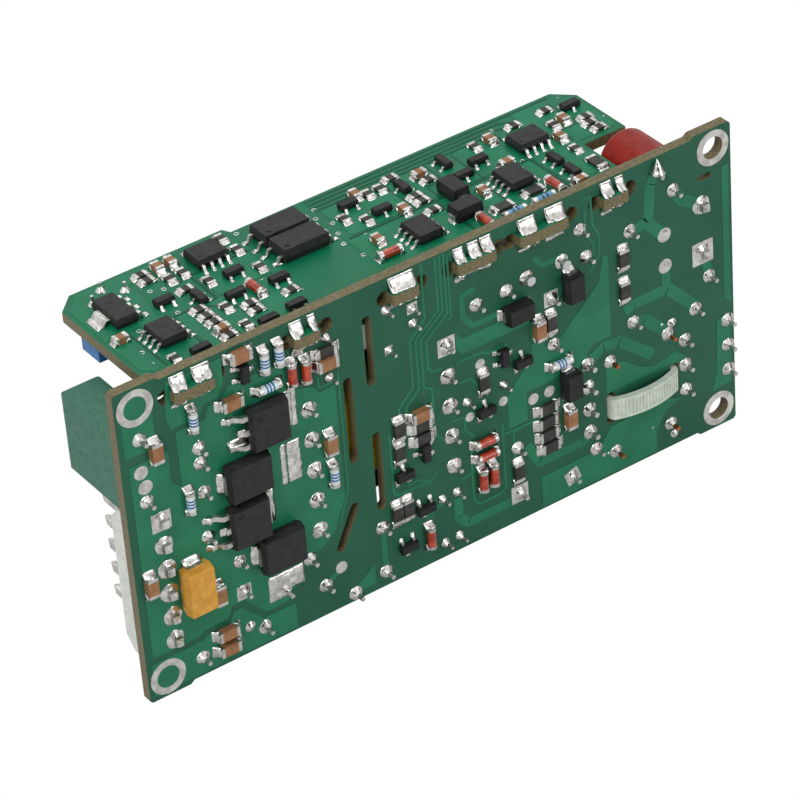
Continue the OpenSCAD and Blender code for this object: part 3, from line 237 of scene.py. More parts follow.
def banded(name, base, band, at, half_width):
    """Lacquered cylinder with rings in a second colour, drawn across its length by attribute."""
    finish = Finish(name, base, rough=0.3, coat=0.5)
    attribute = finish.nodes.new("ShaderNodeAttribute")
    attribute.attribute_name = "along"
    stripes = None
    for centre in at:
        away = finish.nodes.new("ShaderNodeMath")
        away.operation = "COMPARE"
        away.inputs[1].default_value = centre
        away.inputs[2].default_value = half_width
        finish.join(attribute.outputs["Fac"], away.inputs[0])
        if stripes is None:
            stripes = away.outputs[0]
        else:
            both = finish.nodes.new("ShaderNodeMath")
            both.operation = "MAXIMUM"
            finish.join(stripes, both.inputs[0])
            finish.join(away.outputs[0], both.inputs[1])
            stripes = both.outputs[0]
    finish.paint(finish.blend(stripes, base, band))
    return finish.wear(0.5, 0.22, 0.4).bump(0.4, 0.02).material


MAIN_MASK = laminate("main_board_mask", colour(26, 84, 62), colour(30, 90, 67), 1)
MAIN_COPPER = copper_under_mask("main_copper_mask", colour(30, 116, 82), colour(26, 108, 77))
CONTROL_MASK = laminate("control_board_mask", colour(6, 106, 72), colour(8, 112, 77), 2)
CONTROL_COPPER = copper_under_mask("control_copper_mask", colour(14, 122, 84),
                                   colour(10, 114, 78))
CONTROL_GAP = Finish("control_gap_mask", colour(6, 74, 54), 0.45).mottle(
    colour(8, 82, 60), 5).bump(0.4, 0.006).material
SOLDER = solder_metal("bright_solder", colour(226, 224, 220), colour(172, 168, 164))
TINNED = solder_metal("tinned_metal", colour(214, 212, 208), colour(170, 168, 164), 0.34)
PAD = Finish("tinned_pad", colour(216, 214, 209), 0.45, metal=0.85).mottle(
    colour(186, 183, 178), 1.4).bump(0.3, 0.03).material
EPOXY = moulding("black_epoxy", colour(40, 40, 41), colour(32, 32, 33), 0.5)
EPOXY_FINE = moulding("fine_black_epoxy", colour(32, 32, 33), colour(25, 25, 26), 0.45)
TANTALUM = moulding("amber_epoxy", colour(212, 156, 66), colour(200, 142, 54), 0.45)
CERAMIC = moulding("brown_ceramic", colour(158, 112, 78), colour(142, 98, 66), 0.4)
GLAZE = moulding("resistor_glaze", colour(44, 43, 42), colour(62, 60, 58), 0.35)
RED_GLASS = moulding("red_glass", colour(186, 62, 30), colour(140, 34, 16), 0.2, coat=0.8)
PALE_BANDS = banded("pale_lacquer", colour(206, 214, 212), colour(28, 96, 160),
                    (0.3, 0.5, 0.7), 0.055)
BLUE_BANDS = banded("blue_lacquer", colour(96, 158, 196), colour(20, 50, 100),
                    (0.35, 0.65), 0.06)
FUSE_RED = moulding("red_moulding", colour(150, 34, 22), colour(134, 26, 17), 0.4, 0.5, 0.01)
TRIMMER_BLUE = moulding("blue_moulding", colour(58, 128, 190), colour(48, 112, 176), 0.35)
NYLON = moulding("white_nylon", colour(226, 229, 222), colour(212, 216, 208), 0.5, 0.6, 0.02)
TIE_NYLON = moulding("tie_nylon", colour(206, 214, 200), colour(190, 200, 186), 0.45, 0.5, 0.02)
FILM_BOX = moulding("green_box", colour(66, 118, 98), colour(58, 108, 90), 0.5, 0.12, 0.02)
FERRITE = moulding("ferrite", colour(62, 62, 64), colour(48, 48, 50), 0.6, 0.4, 0.02)
COATED_RING = moulding("ring_coating", colour(54, 110, 70), colour(46, 98, 62), 0.4)
BLACK_PLASTIC = moulding("black_bobbin", colour(36, 36, 37), colour(28, 28, 29), 0.45)
TAPE = moulding("yellow_tape", colour(226, 190, 40), colour(214, 176, 30), 0.35, 1.5, 0.03)
SLEEVE = moulding("can_sleeve", colour(32, 36, 54), colour(26, 30, 46), 0.3, 2.0, 0.02, 0.3)
DISC_BLUE = moulding("disc_coating_blue", colour(44, 92, 160), colour(36, 80, 144), 0.35)
DISC_DARK = moulding("disc_coating_dark", colour(44, 52, 46), colour(34, 42, 38), 0.4)
PALE_BOX = moulding("pale_box", colour(196, 196, 188), colour(184, 184, 176), 0.45)
PALE_EPOXY = moulding("pale_epoxy", colour(214, 213, 204), colour(202, 201, 192), 0.45)
ALUMINIUM = Finish("sink_aluminium", colour(206, 208, 210), 0.35, metal=1.0).wear(
    3, 0.28, 0.42).bump(0.3, 0.02, 3, (1, 12, 1)).material
STEEL = Finish("zinc_steel", colour(190, 190, 188), 0.3, metal=1.0).mottle(
    colour(160, 160, 156), 0.8).bump(0.4, 0.03).material
COPPER_WIRE = Finish("enamelled_copper", colour(190, 104, 52), 0.28, metal=0.9, coat=0.5).mottle(
    colour(160, 82, 38), 1.5).bump(0.5, 0.03).material

CAD_FINISH = {
    MAIN_MASK: ["main_board"],
    CONTROL_MASK: ["control_board"],
    PAD: ["mounting_pads"],
    EPOXY: ["power_transistors", "large_diodes", "control_circuits", "control_couplers",
            "bridge_rectifier", "heat_sink_transistor"],
    EPOXY_FINE: ["solder_side_packages", "control_packages"],
    TANTALUM: ["tantalum_capacitor"],
    TINNED: ["power_terminals", "solder_side_package_leads", "control_package_leads",
             "solder_side_end_caps", "control_end_caps", "trimmer_pins", "output_pins",
             "input_pins", "component_leads", "wire_link"],
    GLAZE: ["solder_side_resistors", "control_resistors"],
    CERAMIC: ["solder_side_capacitors", "control_capacitors"],
    RED_GLASS: ["solder_side_glass_diodes", "control_glass_diodes"],
    PALE_BANDS: ["solder_side_cylinders"],
    BLUE_BANDS: ["control_cylinders"],
    TRIMMER_BLUE: ["trimmer_body"],
    NYLON: ["trimmer_rotor", "output_header", "input_header", "pulse_transformer_bobbin"],
    FILM_BOX: ["film_capacitor"],
    FUSE_RED: ["fuse_1", "fuse_2"],
    TIE_NYLON: ["cable_tie"],
    FERRITE: ["transformer_core", "pulse_transformer_core", "output_choke"],
    BLACK_PLASTIC: ["transformer_bobbin"],
    TAPE: ["transformer_winding"],
    SLEEVE: ["bulk_capacitor_1", "bulk_capacitor_2", "small_capacitors", "output_capacitors"],
    DISC_DARK: ["thermistor"],
    DISC_BLUE: ["varistor", "safety_capacitors"],
    PALE_BOX: ["line_capacitor"],
    PALE_EPOXY: ["isolating_coupler"],
    COATED_RING: ["choke_core"],
    COPPER_WIRE: ["choke_windings"],
    ALUMINIUM: ["heat_sink"],
    STEEL: ["transistor_screw"],
}
for finish, names in CAD_FINISH.items():
    for name in names:
        NODES[name].data.materials.clear()
        NODES[name].data.materials.append(finish)


# ---- Making pieces ------------------------------------------------------------------------

def linked(name, data):
    """An object in the scene that holds a mesh, a lamp or a camera."""
    item = bpy.data.objects.new(name, data)
    bpy.context.scene.collection.objects.link(item)
    return item


def mesh_of(bm, name):
    mesh = bpy.data.meshes.new(name)
    bm.to_mesh(mesh)
    bm.free()
    return mesh


def dressed(mesh, name, finish, smooth):
    """Gives a mesh its finish and makes it a piece on the power supply's body."""
    mesh.materials.append(finish)
    if smooth:
        mesh.shade_smooth()
    piece = linked(name, mesh)
    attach(piece, BODY)
    return piece


def piece_from(bm, name, finish, smooth=True):
    """Makes a bmesh one piece on the power supply's body."""
    bmesh.ops.recalc_face_normals(bm, faces=bm.faces)
    return dressed(mesh_of(bm, name), name, finish, smooth)


def grown(name, start, tree, values, finish, smooth=False):
    """Runs a geometry tree on a start mesh and keeps the result as a plain mesh piece."""
    holder = linked(name + "_start", start)
    modifier = holder.modifiers.new("grow", "NODES")
    modifier.node_group = tree
    for item in tree.interface.items_tree:
        if item.item_type == "SOCKET" and item.in_out == "INPUT" and item.name in values:
            modifier[item.identifier] = values[item.name]
    view = bpy.context.evaluated_depsgraph_get()
    mesh = bpy.data.meshes.new_from_object(holder.evaluated_get(view))
    bpy.data.objects.remove(holder)
    mesh.name = name
    mesh.materials.clear()
    mesh.shade_flat()
    return dressed(mesh, name, finish, smooth)


class Tree:
    """A geometry node tree with named inputs."""

    def __init__(self, name, inputs):
        self.group = bpy.data.node_groups.new(name, "GeometryNodeTree")
        face = self.group.interface
        face.new_socket("Geometry", in_out="INPUT", socket_type="NodeSocketGeometry")
        for label, kind, value in inputs:
            socket = face.new_socket(label, in_out="INPUT", socket_type="NodeSocket" + kind)
            if value is not None:
                socket.default_value = value
        face.new_socket("Geometry", in_out="OUTPUT", socket_type="NodeSocketGeometry")
        self.given = self.group.nodes.new("NodeGroupInput")
        self.result = self.group.nodes.new("NodeGroupOutput")

    def add(self, kind, settings=None, **wires):
        """Adds a node. Its inputs are named with underscores for blanks; sockets are joined."""
        node = self.group.nodes.new(kind)
        for key, value in (settings or {}).items():
            setattr(node, key, value)
        for key, value in wires.items():
            socket = node.inputs[key.replace("_", " ")]
            if isinstance(value, bpy.types.NodeSocket):
                self.group.links.new(value, socket)
            else:
                socket.default_value = value
        return node

    def end(self, geometry):
        """Ends the tree in real, finished geometry."""
        real = self.add("GeometryNodeRealizeInstances", Geometry=geometry)
        done = self.add("GeometryNodeSetMaterial", Geometry=real.outputs[0],
                        Material=self.given.outputs["Finish"])
        self.group.links.new(done.outputs[0], self.result.inputs[0])
        return self.group


# ---- Copper under the mask ----------------------------------------------------------------

def track_tree():
    """Flat tracks along polylines, with rounded corners."""
    tree = Tree("tracks", [("Width", "Float", 0.4 * MM), ("Height", "Float", 0.05 * MM),
                           ("Corner", "Float", 0.4 * MM), ("Out", "Vector", (0, -1, 0)),
                           ("Finish", "Material", None)])
    given = tree.given.outputs
    curve = tree.add("GeometryNodeMeshToCurve", Mesh=given["Geometry"])
    soft = tree.add("GeometryNodeFilletCurve", Curve=curve.outputs[0], Radius=given["Corner"])
    soft.mode = "POLY"
    soft.inputs["Count"].default_value = 3
    flat = tree.add("GeometryNodeSetCurveNormal", {"mode": "FREE"}, Curve=soft.outputs[0])
    tree.group.links.new(given["Out"], flat.inputs["Normal"])
    outline = tree.add("GeometryNodeCurvePrimitiveQuadrilateral", Width=given["Height"],
                       Height=given["Width"])
    solid = tree.add("GeometryNodeCurveToMesh", Curve=flat.outputs[0],
                     Profile_Curve=outline.outputs[0], Fill_Caps=True)
    return tree.end(solid.outputs[0])


def ring_tree():
    """A flattened ring on each point, its axis along z, turned by Turn."""
    tree = Tree("via_rings", [("Radius", "Float", 0.32 * MM), ("Wire", "Float", 0.09 * MM),
                              ("Turn", "Vector", (0, 0, 0)), ("Finish", "Material", None)])
    given = tree.given.outputs
    points = tree.add("GeometryNodeMeshToPoints", Mesh=given["Geometry"])
    big = tree.add("GeometryNodeCurvePrimitiveCircle", Radius=given["Radius"], Resolution=16)
    small = tree.add("GeometryNodeCurvePrimitiveCircle", Radius=given["Wire"], Resolution=6)
    ring = tree.add("GeometryNodeCurveToMesh", Curve=big.outputs[0],
                    Profile_Curve=small.outputs[0])
    flat = tree.add("GeometryNodeTransform", Geometry=ring.outputs[0], Scale=(1, 1, 0.5))
    turned = tree.add("GeometryNodeTransform", Geometry=flat.outputs[0], Rotation=given["Turn"])
    placed = tree.add("GeometryNodeInstanceOnPoints", Points=points.outputs[0],
                      Instance=turned.outputs[0])
    return tree.end(placed.outputs[0])


CLEAR = 0.01                # mm that copper starts above the board
ROUTE_STEP = 0.0006 * MM    # keeps tracks that cross from lying in one plane
TRACKS = track_tree()
RINGS = ring_tree()


def polylines(name, routes, place, out):
    """A mesh of bare edges through each route's points, each route a hair above the last."""
    bm = bmesh.new()
    for number, route in enumerate(routes):
        lift = Vector(out) * ROUTE_STEP * number
        row = [bm.verts.new(place(*point) + lift) for point in route]
        for first, second in zip(row, row[1:]):
            bm.edges.new((first, second))
    return mesh_of(bm, name)


def on_solder_side(x, z):
    """A point just above the solder side."""
    return board_point(x, -CLEAR, z)


def on_control(x, y):
    """A point just above the control board."""
    return control_point(x, y, CLEAR)


def tracks(name, width, routes, place, out, finish):
    start = polylines(name, routes, place, out)
    return grown(name, start, TRACKS, {"Width": width * MM, "Out": out, "Finish": finish},
                 finish)


def join_rows(bm, first, second):
    """Joins two closed rows of points that have the same count."""
    for i in range(len(first)):
        k = (i + 1) % len(first)
        bm.faces.new((first[i], first[k], second[k], second[i]))


def areas(name, outlines, place, out, finish, height=0.04):
    """Flat areas of copper, height mm thick."""
    bm = bmesh.new()
    lift = Vector(out) * height * MM
    for outline in outlines:
        base = [bm.verts.new(place(*point)) for point in outline]
        top = [bm.verts.new(place(*point) + lift) for point in outline]
        bm.faces.new(base)
        bm.faces.new(top)
        join_rows(bm, base, top)
    return piece_from(bm, name, finish, smooth=False)


SOLDER_OUT = (0, -1, 0)
CONTROL_OUT = (0, 0, 1)

MAIN_AREAS = [
    [(0.8, 40.3), (4.7, 40.3), (5.6, 41.2), (5.6, 49.5), (0.8, 49.5)],
    [(1.2, 7.2), (8.7, 7.2), (9.5, 7.8), (13.3, 7.8), (14.2, 9.6), (16.2, 9.6), (19.5, 6),
     (23.2, 6), (23.9, 7.4), (26.3, 10.6), (27.6, 12), (29, 11.8), (31.4, 13.5), (33.6, 18.7),
     (33.6, 37.3), (31, 37.3), (30.2, 38.6), (27.6, 39.4), (27.4, 44.6), (17.2, 44.6),
     (15.9, 42.9), (13.9, 42.9), (13.2, 41.2), (8.7, 41.2), (8.7, 32.4), (7.2, 33.8),
     (7.2, 38.9), (1.2, 38.9)],
    [(0.8, 0.9), (24.2, 0.9), (24.2, 5.1), (18.9, 5.1), (15.6, 8.6), (14.4, 8.6), (13.5, 6.8),
     (9.7, 6.8), (9.2, 6.3), (0.8, 6.3)],
    [(8, 41.9), (12.6, 41.9), (13.2, 43.6), (15.4, 43.6), (16.6, 45.4), (16.6, 49.4), (8, 49.4),
     (7.5, 44)],
    [(34.6, 1.8), (37.4, 1.8), (37.4, 5.1), (34.6, 3)],
    [(61.3, 16.9), (64.6, 16.9), (64.6, 21.6), (73.9, 21.6), (76.4, 24.4), (79.6, 24.4),
     (79.6, 37.8), (78.7, 38.2), (77.8, 34.2), (70.6, 27.8), (68.2, 27.8), (68.2, 33.4),
     (65.8, 33.4), (65.8, 27.3), (61.3, 22.2)],
    [(53.4, 36.7), (54.6, 35.3), (64.4, 35.3), (66, 34), (66, 32.8), (54.2, 32.8), (53.4, 33.8)],
    [(66.4, 6.1), (76.6, 6.1), (79, 9), (88.4, 9.4), (91.8, 8.2), (88.8, 7.2), (87, 4.6), (87, 0.9),
     (66.4, 0.9)],
    [(78.4, 14.9), (88.6, 14.9), (92.4, 14.4), (92.6, 15.2), (90.6, 16.7), (89.2, 16.3),
     (86.8, 15.9), (84.6, 16.8), (81.4, 19.3), (78.4, 19.6)],
    [(98.5, 18.8), (101, 18.8), (101, 7), (97.4, 6.6), (98.3, 10)],
    [(99.9, 44), (101.1, 44), (101.1, 20.5), (99.9, 22)],
]
areas("main_copper_areas", MAIN_AREAS, on_solder_side, SOLDER_OUT, MAIN_COPPER)

MAIN_TRACKS = {
    0.36: [
        [(48.6, 50), (48.6, 41.2), (45.9, 38.6), (45.9, 31), (43.4, 28.8), (43.4, 27.2)],
        [(50.9, 50), (50.9, 41.6), (46.9, 38.3), (46.9, 30.4), (44.6, 28.4), (44.6, 27.4)],
        [(51.6, 50), (51.6, 41.1), (47.7, 38), (47.7, 30)],
        [(52.3, 50), (52.3, 40.4), (48.6, 37.4), (48.6, 33), (49.4, 32.1), (51, 32.1)],
        [(47.8, 30.2), (49, 29.4), (49, 22), (50.4, 20)],
        [(41.5, 25.4), (41.5, 15.3), (42.4, 14.6), (48, 14.6), (48.8, 15.4)],
        [(43.8, 15.6), (46, 15.6), (47.6, 14.1)],
        [(53.4, 49.6), (52.9, 49.4), (52.9, 39.6), (52.4, 39.2)],
        [(34.2, 39.4), (34.2, 19.6), (32.6, 14.9)],
        [(31, 39.8), (31, 37.9), (34.2, 37.9)],
        [(54.7, 17.6), (54.7, 7.6), (55.6, 6.7), (59.4, 6.7), (60.2, 7.6), (60.2, 18.2)],
        [(55.3, 18.6), (54, 20), (54, 22.4), (51.8, 22.6)],
        [(52.6, 12.2), (55.4, 12.6)],
        [(53.4, 31.8), (57.6, 31.6), (58.6, 31), (62, 31)],
        [(53.4, 28.2), (55.6, 28.2), (56.2, 27), (57.4, 24.6)],
        [(60.4, 16.4), (66, 16.2), (67.6, 16.4), (70, 16.4)],
        [(75.5, 48.5), (77, 48.8), (77.2, 44), (78.2, 42), (78.2, 38.9), (76.6, 36.6)],
        [(75.9, 46.8), (76, 43), (77.2, 41), (77.2, 39)],
        [(62, 11), (62, 16), (64, 16.2)],
    ],
    0.9: [
        [(57, 42.4), (54.8, 42), (54.8, 38.6), (56.4, 36.6), (60.6, 36.6)],
        [(67, 43), (68.4, 41.2), (72, 41)],
        [(39.25, 9.8), (39.25, 3.2)],
        [(29.3, 5.5), (31.6, 6.9)],
        [(46.4, 8.4), (49.4, 10)],
    ],
    1.5: [
        [(52, 9.4), (52, 6), (53.6, 4.4), (61, 4.4)],
        [(64.2, 12.6), (66.2, 8.7), (74, 8.7), (75.2, 9.6)],
        [(72.6, 36.6), (70.2, 35)],
        [(89.6, 27.9), (89.6, 31.4)],
        [(97.3, 27), (96.6, 30.6)],
    ],
    1.8: [
        [(76, 22), (78.2, 23.1), (81, 22.9), (86.8, 17.9)],
        [(83.8, 24.8), (85.6, 24.4), (89.6, 20.6)],
        [(82.2, 27.3), (83.8, 27.9), (89.8, 27.9), (94.6, 22.8)],
        [(88.1, 47.4), (87.3, 46.2), (86.8, 40.4), (84, 40.1)],
        [(86.6, 40.2), (89.2, 37.2)],
        [(91.5, 43.2), (92.8, 41.4), (95.6, 39.6)],
    ],
}
for width, routes in MAIN_TRACKS.items():
    tracks("main_tracks_%02d" % round(width * 10), width, routes, on_solder_side, SOLDER_OUT,
           MAIN_COPPER)

CONTROL_AREAS = [
    [(8, 6.2), (9.4, 4.8), (10.2, 4.8), (10.2, 12.4), (8, 12.4)],
    [(8, 14.6), (17.4, 14.6), (17.4, 23.6), (20, 26.6), (10.6, 26.6), (8, 23.8)],
    [(18.2, 2.4), (34.2, 2.4), (34.2, 13.4), (18.2, 13.4)],
    [(25.6, 14), (34.2, 14), (34.2, 20.2), (25.6, 20.2)],
    [(46, 2.6), (60.6, 2.6), (60.6, 13.4), (46, 13.4)],
    [(61.4, 2.6), (76.8, 2.6), (76.8, 13.6), (61.4, 13.6)],
    [(47.4, 14.4), (76, 14.4), (76, 22.2), (47.4, 22.2)],
    [(77.6, 5.2), (84.6, 5.2), (84.6, 13.2), (91.8, 13.2), (91.8, 22.4), (89.4, 25), (82, 25),
     (82, 21.4), (77.6, 21.4)],
]
areas("control_copper_areas", CONTROL_AREAS, on_control, CONTROL_OUT, CONTROL_COPPER)

CONTROL_GAPS = [
    [(17.8, 3), (17.8, 13.8), (25, 13.8), (25, 20.6), (34.6, 20.6)],
    [(46.6, 13.9), (60.8, 13.9), (60.8, 3)],
    [(61, 13.9), (77.2, 13.9), (77.2, 4.6)],
    [(46.8, 22.6), (76.4, 22.6), (77.2, 21.8), (77.2, 14)],
    [(46.8, 23.5), (77, 23.5), (81.4, 22.2)],
    [(46.8, 24.4), (79, 24.4), (81.4, 23.4)],
    [(46.8, 25.3), (88.6, 25.3)],
    [(23.4, 20), (23.4, 23), (26, 26.4)],
    [(62, 14), (62, 17.4), (65, 17.4), (65, 22)],
    [(57.8, 14), (57.8, 22)],
    [(69.4, 14.2), (69.4, 22)],
    [(84.8, 13.6), (84.8, 17), (87.8, 17), (87.8, 24)],
    [(68.4, 3), (68.4, 13.4)],
    [(26, 2.6), (26, 10), (22.8, 13)],
    [(11.4, 5), (11.4, 13.8)],
]
tracks("control_gaps", 0.32, CONTROL_GAPS, lambda x, y: control_point(x, y, 0.035), CONTROL_OUT,
       CONTROL_GAP)

MAIN_VIAS = [(48.9, 48.5), (49.8, 45.2), (47.8, 29.7), (49.8, 28.5), (47.6, 14.1), (44.5, 20.6),
             (43.4, 8), (32.3, 31.1), (9.2, 43.2), (14.6, 41.4), (62, 49.4), (75.6, 49.4),
             (52.4, 39.2), (64.8, 30.6)]
CONTROL_VIAS = [(9.7, 23.4), (19, 21), (20.7, 20.2), (28, 18.9), (19.1, 14.3), (12.8, 14),
                (32, 13.2), (30.1, 7.9), (30, 6), (10.4, 9.5), (10, 6.5), (35.6, 25.1), (47, 23),
                (45.9, 21), (48.9, 21.4), (47.1, 18.6), (46.2, 16), (45.3, 13.4), (48.9, 13.2),
                (45.8, 9.4), (77.6, 23.4), (83.3, 22.9), (89.8, 24.2), (76.1, 14.2), (86.3, 15),
                (91.6, 16.1)]


def points_mesh(name, places, place):
    mesh = bpy.data.meshes.new(name)
    mesh.from_pydata([place(*point) for point in places], [], [])
    return mesh


grown("main_vias", points_mesh("main_vias", MAIN_VIAS, on_solder_side), RINGS,
      {"Turn": (math.pi / 2, 0, 0), "Finish": MAIN_COPPER}, MAIN_COPPER, True)
grown("control_vias", points_mesh("control_vias", CONTROL_VIAS, on_control), RINGS,
      {"Finish": TINNED}, TINNED, True)


# ---- Solder -------------------------------------------------------------------------------

random.seed(7)


def blob(bm, centre, out, radius, height, rings=7, around=20, lumps=0.12, oval=1.0, turn=0.0):
    """A mound of solder round a wire, its flank hollow near the top and full near the pad."""
    out = Vector(out)
    side = Vector((1, 0, 0))
    other = out.cross(side)
    phase = random.uniform(0, 20)
    grid = []
    for i in range(rings + 1):
        share = i / rings
        row = []
        for j in range(around):
            angle = 2 * math.pi * j / around
            wobble = 1 + lumps * noise.noise(Vector((math.cos(angle) * 1.3 + phase,
                                                     math.sin(angle) * 1.3, phase)))
            r = radius * share * (1 + (wobble - 1) * share)
            rise = 0.55 * (1 - share) ** 1.8 + 0.45 * (1 - share ** 2.2)
            rise *= 1 + 1.6 * lumps * noise.noise(Vector((math.cos(angle) * share * 2 + phase,
                                                          math.sin(angle) * share * 2, 3)))
            u = r * math.cos(angle)
            v = r * oval * math.sin(angle)
            u, v = (u * math.cos(turn) - v * math.sin(turn),
                    u * math.sin(turn) + v * math.cos(turn))
            row.append(bm.verts.new(centre + side * u + other * v
                                    + out * height * max(rise, 0.03)))
            if i == 0:
                break
        grid.append(row)
    for j in range(around):
        k = (j + 1) % around
        bm.faces.new((grid[0][0], grid[1][j], grid[1][k]))
        for i in range(1, rings):
            bm.faces.new((grid[i][j], grid[i + 1][j], grid[i + 1][k], grid[i][k]))
    base = [bm.verts.new(vert.co - out * height * 0.03) for vert in grid[rings]]
    join_rows(bm, grid[rings], base)
    bm.faces.new(base)


PAD_SIDES = 24


def disc_pad(bm, centre, out, radius, height=0.06):
    """A round tinned pad."""
    out = Vector(out)
    side = Vector((1, 0, 0))
    other = out.cross(side)
    low, high = [], []
    for j in range(PAD_SIDES):
        angle = 2 * math.pi * j / PAD_SIDES
        spot = centre + side * radius * math.cos(angle) + other * radius * math.sin(angle)
        low.append(bm.verts.new(spot))
        high.append(bm.verts.new(spot + out * height * MM))
    bm.faces.new(low)
    bm.faces.new(high)
    join_rows(bm, low, high)


def box_pad(bm, centre, out, along, wide, height=0.06, turn=0.0):
    """A square or oblong tinned pad, along and wide in metres."""
    out = Vector(out)
    side = Vector((math.cos(turn), 0, math.sin(turn)))
    other = out.cross(side)
    low, high = [], []
    for sx, sy in ((-1, -1), (1, -1), (1, 1), (-1, 1)):
        spot = centre + side * along / 2 * sx + other * wide / 2 * sy
        low.append(bm.verts.new(spot))
        high.append(bm.verts.new(spot + out * height * MM))
    bm.faces.new(low)
    bm.faces.new(high)
    join_rows(bm, low, high)


joints = bmesh.new()
for low, high in solids("solder_joints"):
    middle = (low + high) / 2
    if high.z > CONTROL_TOP + 0.5 * MM:
        blob(joints, Vector((middle.x, middle.y, CONTROL_TOP)), CONTROL_OUT,
             (high.x - low.x) / 2, high.z - low.z)
    else:
        radius = (high.x - low.x) / 2
        blob(joints, Vector((middle.x, 0, middle.z)), SOLDER_OUT, radius * 0.98,
             -low.y * random.uniform(0.85, 1.1))
joint_piece = piece_from(joints, "joint_solder", SOLDER)
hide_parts("solder_joints")

# Pads with no wire, in mm on the board: place, size and turn, or place and radius. Tinned
# strips have their middle and their two sides.
SQUARE_PADS = [(5, 28.5, 3, 3, 0), (16.3, 11, 2.3, 2.3, 0), (51.77, 35.26, 2.9, 2.9, 0),
               (69.6, 35.2, 2.4, 2.4, 0), (62.5, 5.2, 2.9, 2.9, 0), (96.2, 31.18, 3.7, 3.7, 0),
               (71.8, 3.7, 2.4, 2.4, 0.35), (42.5, 38.8, 1.3, 1.3, 0), (46.7, 43.8, 1.7, 1.7, 0)]
ROUND_PADS = [(2.9, 37.4, 1.05), (3.3, 34.9, 1.1), (89.5, 37, 1.15), (89.5, 31.8, 1.15),
              (60.6, 22, 0.75), (54.9, 22, 0.75), (65.7, 20, 0.9), (68.5, 20, 0.9),
              (57.1, 29.9, 0.8), (32, 7.3, 0.95)]
TINNED_STRIPS = [(24.5, 28.4, 0.9, 6.6), (26.2, 28.4, 2.2, 6.6), (23.1, 9.6, 5.8, 3.2),
                 (21.8, 7.7, 3.4, 1.6), (26.9, 36.9, 0.9, 6.2)]
pads = bmesh.new()
for x, z, along, wide, turn in SQUARE_PADS:
    box_pad(pads, board_point(x, 0, z), SOLDER_OUT, along * MM, wide * MM, 0.08, turn)
for x, z, radius in ROUND_PADS:
    disc_pad(pads, board_point(x, 0, z), SOLDER_OUT, radius * MM, 0.07)
piece_from(pads, "bare_pads", PAD, smooth=False)


def tinned_strip(bm, x, z, along, wide, step=0.3):
    """A strip of copper with solder that lies on it in waves."""
    columns = max(3, round(along / step))
    rows = max(3, round(wide / step))
    grid = []
    for i in range(columns + 1):
        line = []
        for j in range(rows + 1):
            edge = min(i, columns - i, j, rows - j)
            px = x + along * (i / columns - 0.5)
            pz = z + wide * (j / rows - 0.5)
            wave = noise.noise(Vector((px * 1.4, pz * 1.4, 5))) + \
                0.5 * noise.noise(Vector((px * 3.1, pz * 3.1, 9)))
            height = 0.05 + min(edge, 2) * 0.07 + max(wave, -0.2) * 0.28 * min(edge, 2) / 2
            line.append(bm.verts.new(board_point(px, -height, pz)))
        grid.append(line)
    for i in range(columns):
        for j in range(rows):
            bm.faces.new((grid[i][j], grid[i + 1][j], grid[i + 1][j + 1], grid[i][j + 1]))
    border = [grid[i][0] for i in range(columns + 1)] + \
        [grid[columns][j] for j in range(1, rows + 1)] + \
        [grid[i][rows] for i in range(columns - 1, -1, -1)] + \
        [grid[0][j] for j in range(rows - 1, 0, -1)]
    foot = [bm.verts.new(Vector((vert.co.x, 0, vert.co.z))) for vert in border]
    join_rows(bm, border, foot)
    bm.faces.new(foot)


strips = bmesh.new()
for strip in TINNED_STRIPS:
    tinned_strip(strips, *strip)
piece_from(strips, "tinned_strips", SOLDER)

# Loose blobs beside some joints, in mm: place, radius and height
LOOSE = [(16.7, 4.8, 0.9, 0.5), (19.1, 4.0, 0.8, 0.5), (90.4, 21.7, 0.85, 0.6),
         (90.3, 2.4, 0.75, 0.5), (78.3, 4.6, 0.3, 0.2), (86.4, 5.3, 0.3, 0.1),
         (88.6, 22.2, 0.3, 0.2), (11.9, 38.1, 0.4, 0.3)]
loose = bmesh.new()
for x, z, radius, height in LOOSE:
    blob(loose, board_point(x, 0, z), SOLDER_OUT, radius * MM, height * MM, 5, 14)
piece_from(loose, "loose_solder", SOLDER)


def fillet(bm, end, away, out, width, height, reach, back, across=6, down=6):
    """Solder that climbs an end face: end is on the board under that face, away points off it."""
    away = Vector(away)
    out = Vector(out)
    side = out.cross(away)
    phase = random.uniform(0, 30)
    stretch = random.uniform(0.85, 1.15)
    grid = []
    for i in range(down + 2):
        row = []
        for j in range(across + 1):
            v = 2 * j / across - 1
            if i == 0:
                u, rise = -back, 0.06 * MM
            else:
                share = (i - 1) / down
                u = reach * stretch * share * (1 - 0.12 * v * v)
                rise = height * (0.8 * (1 - share) ** 2 + 0.2 * (1 - share ** 2))
                rise *= 1 - 0.35 * v ** 4
                rise *= 1 + 0.3 * noise.noise(Vector((share * 2 + phase, v * 1.5, phase)))
            row.append(bm.verts.new(end + away * u + side * width / 2 * v
                                    + out * max(rise, 0.05 * MM)))
        grid.append(row)
    for i in range(down + 1):
        for j in range(across):
            bm.faces.new((grid[i][j], grid[i + 1][j], grid[i + 1][j + 1], grid[i][j + 1]))
    border = grid[0] + [grid[i][across] for i in range(1, down + 2)] + \
        grid[down + 1][-2::-1] + [grid[i][0] for i in range(down, 0, -1)]
    foot = []
    for vert in border:
        lift = (vert.co - end).dot(out)
        foot.append(bm.verts.new(vert.co - out * lift))
    join_rows(bm, border, foot)
    bm.faces.new(foot)


def nearest(spot, boxes):
    return min(boxes, key=lambda box: ((box[0] + box[1]) / 2 - spot).length)


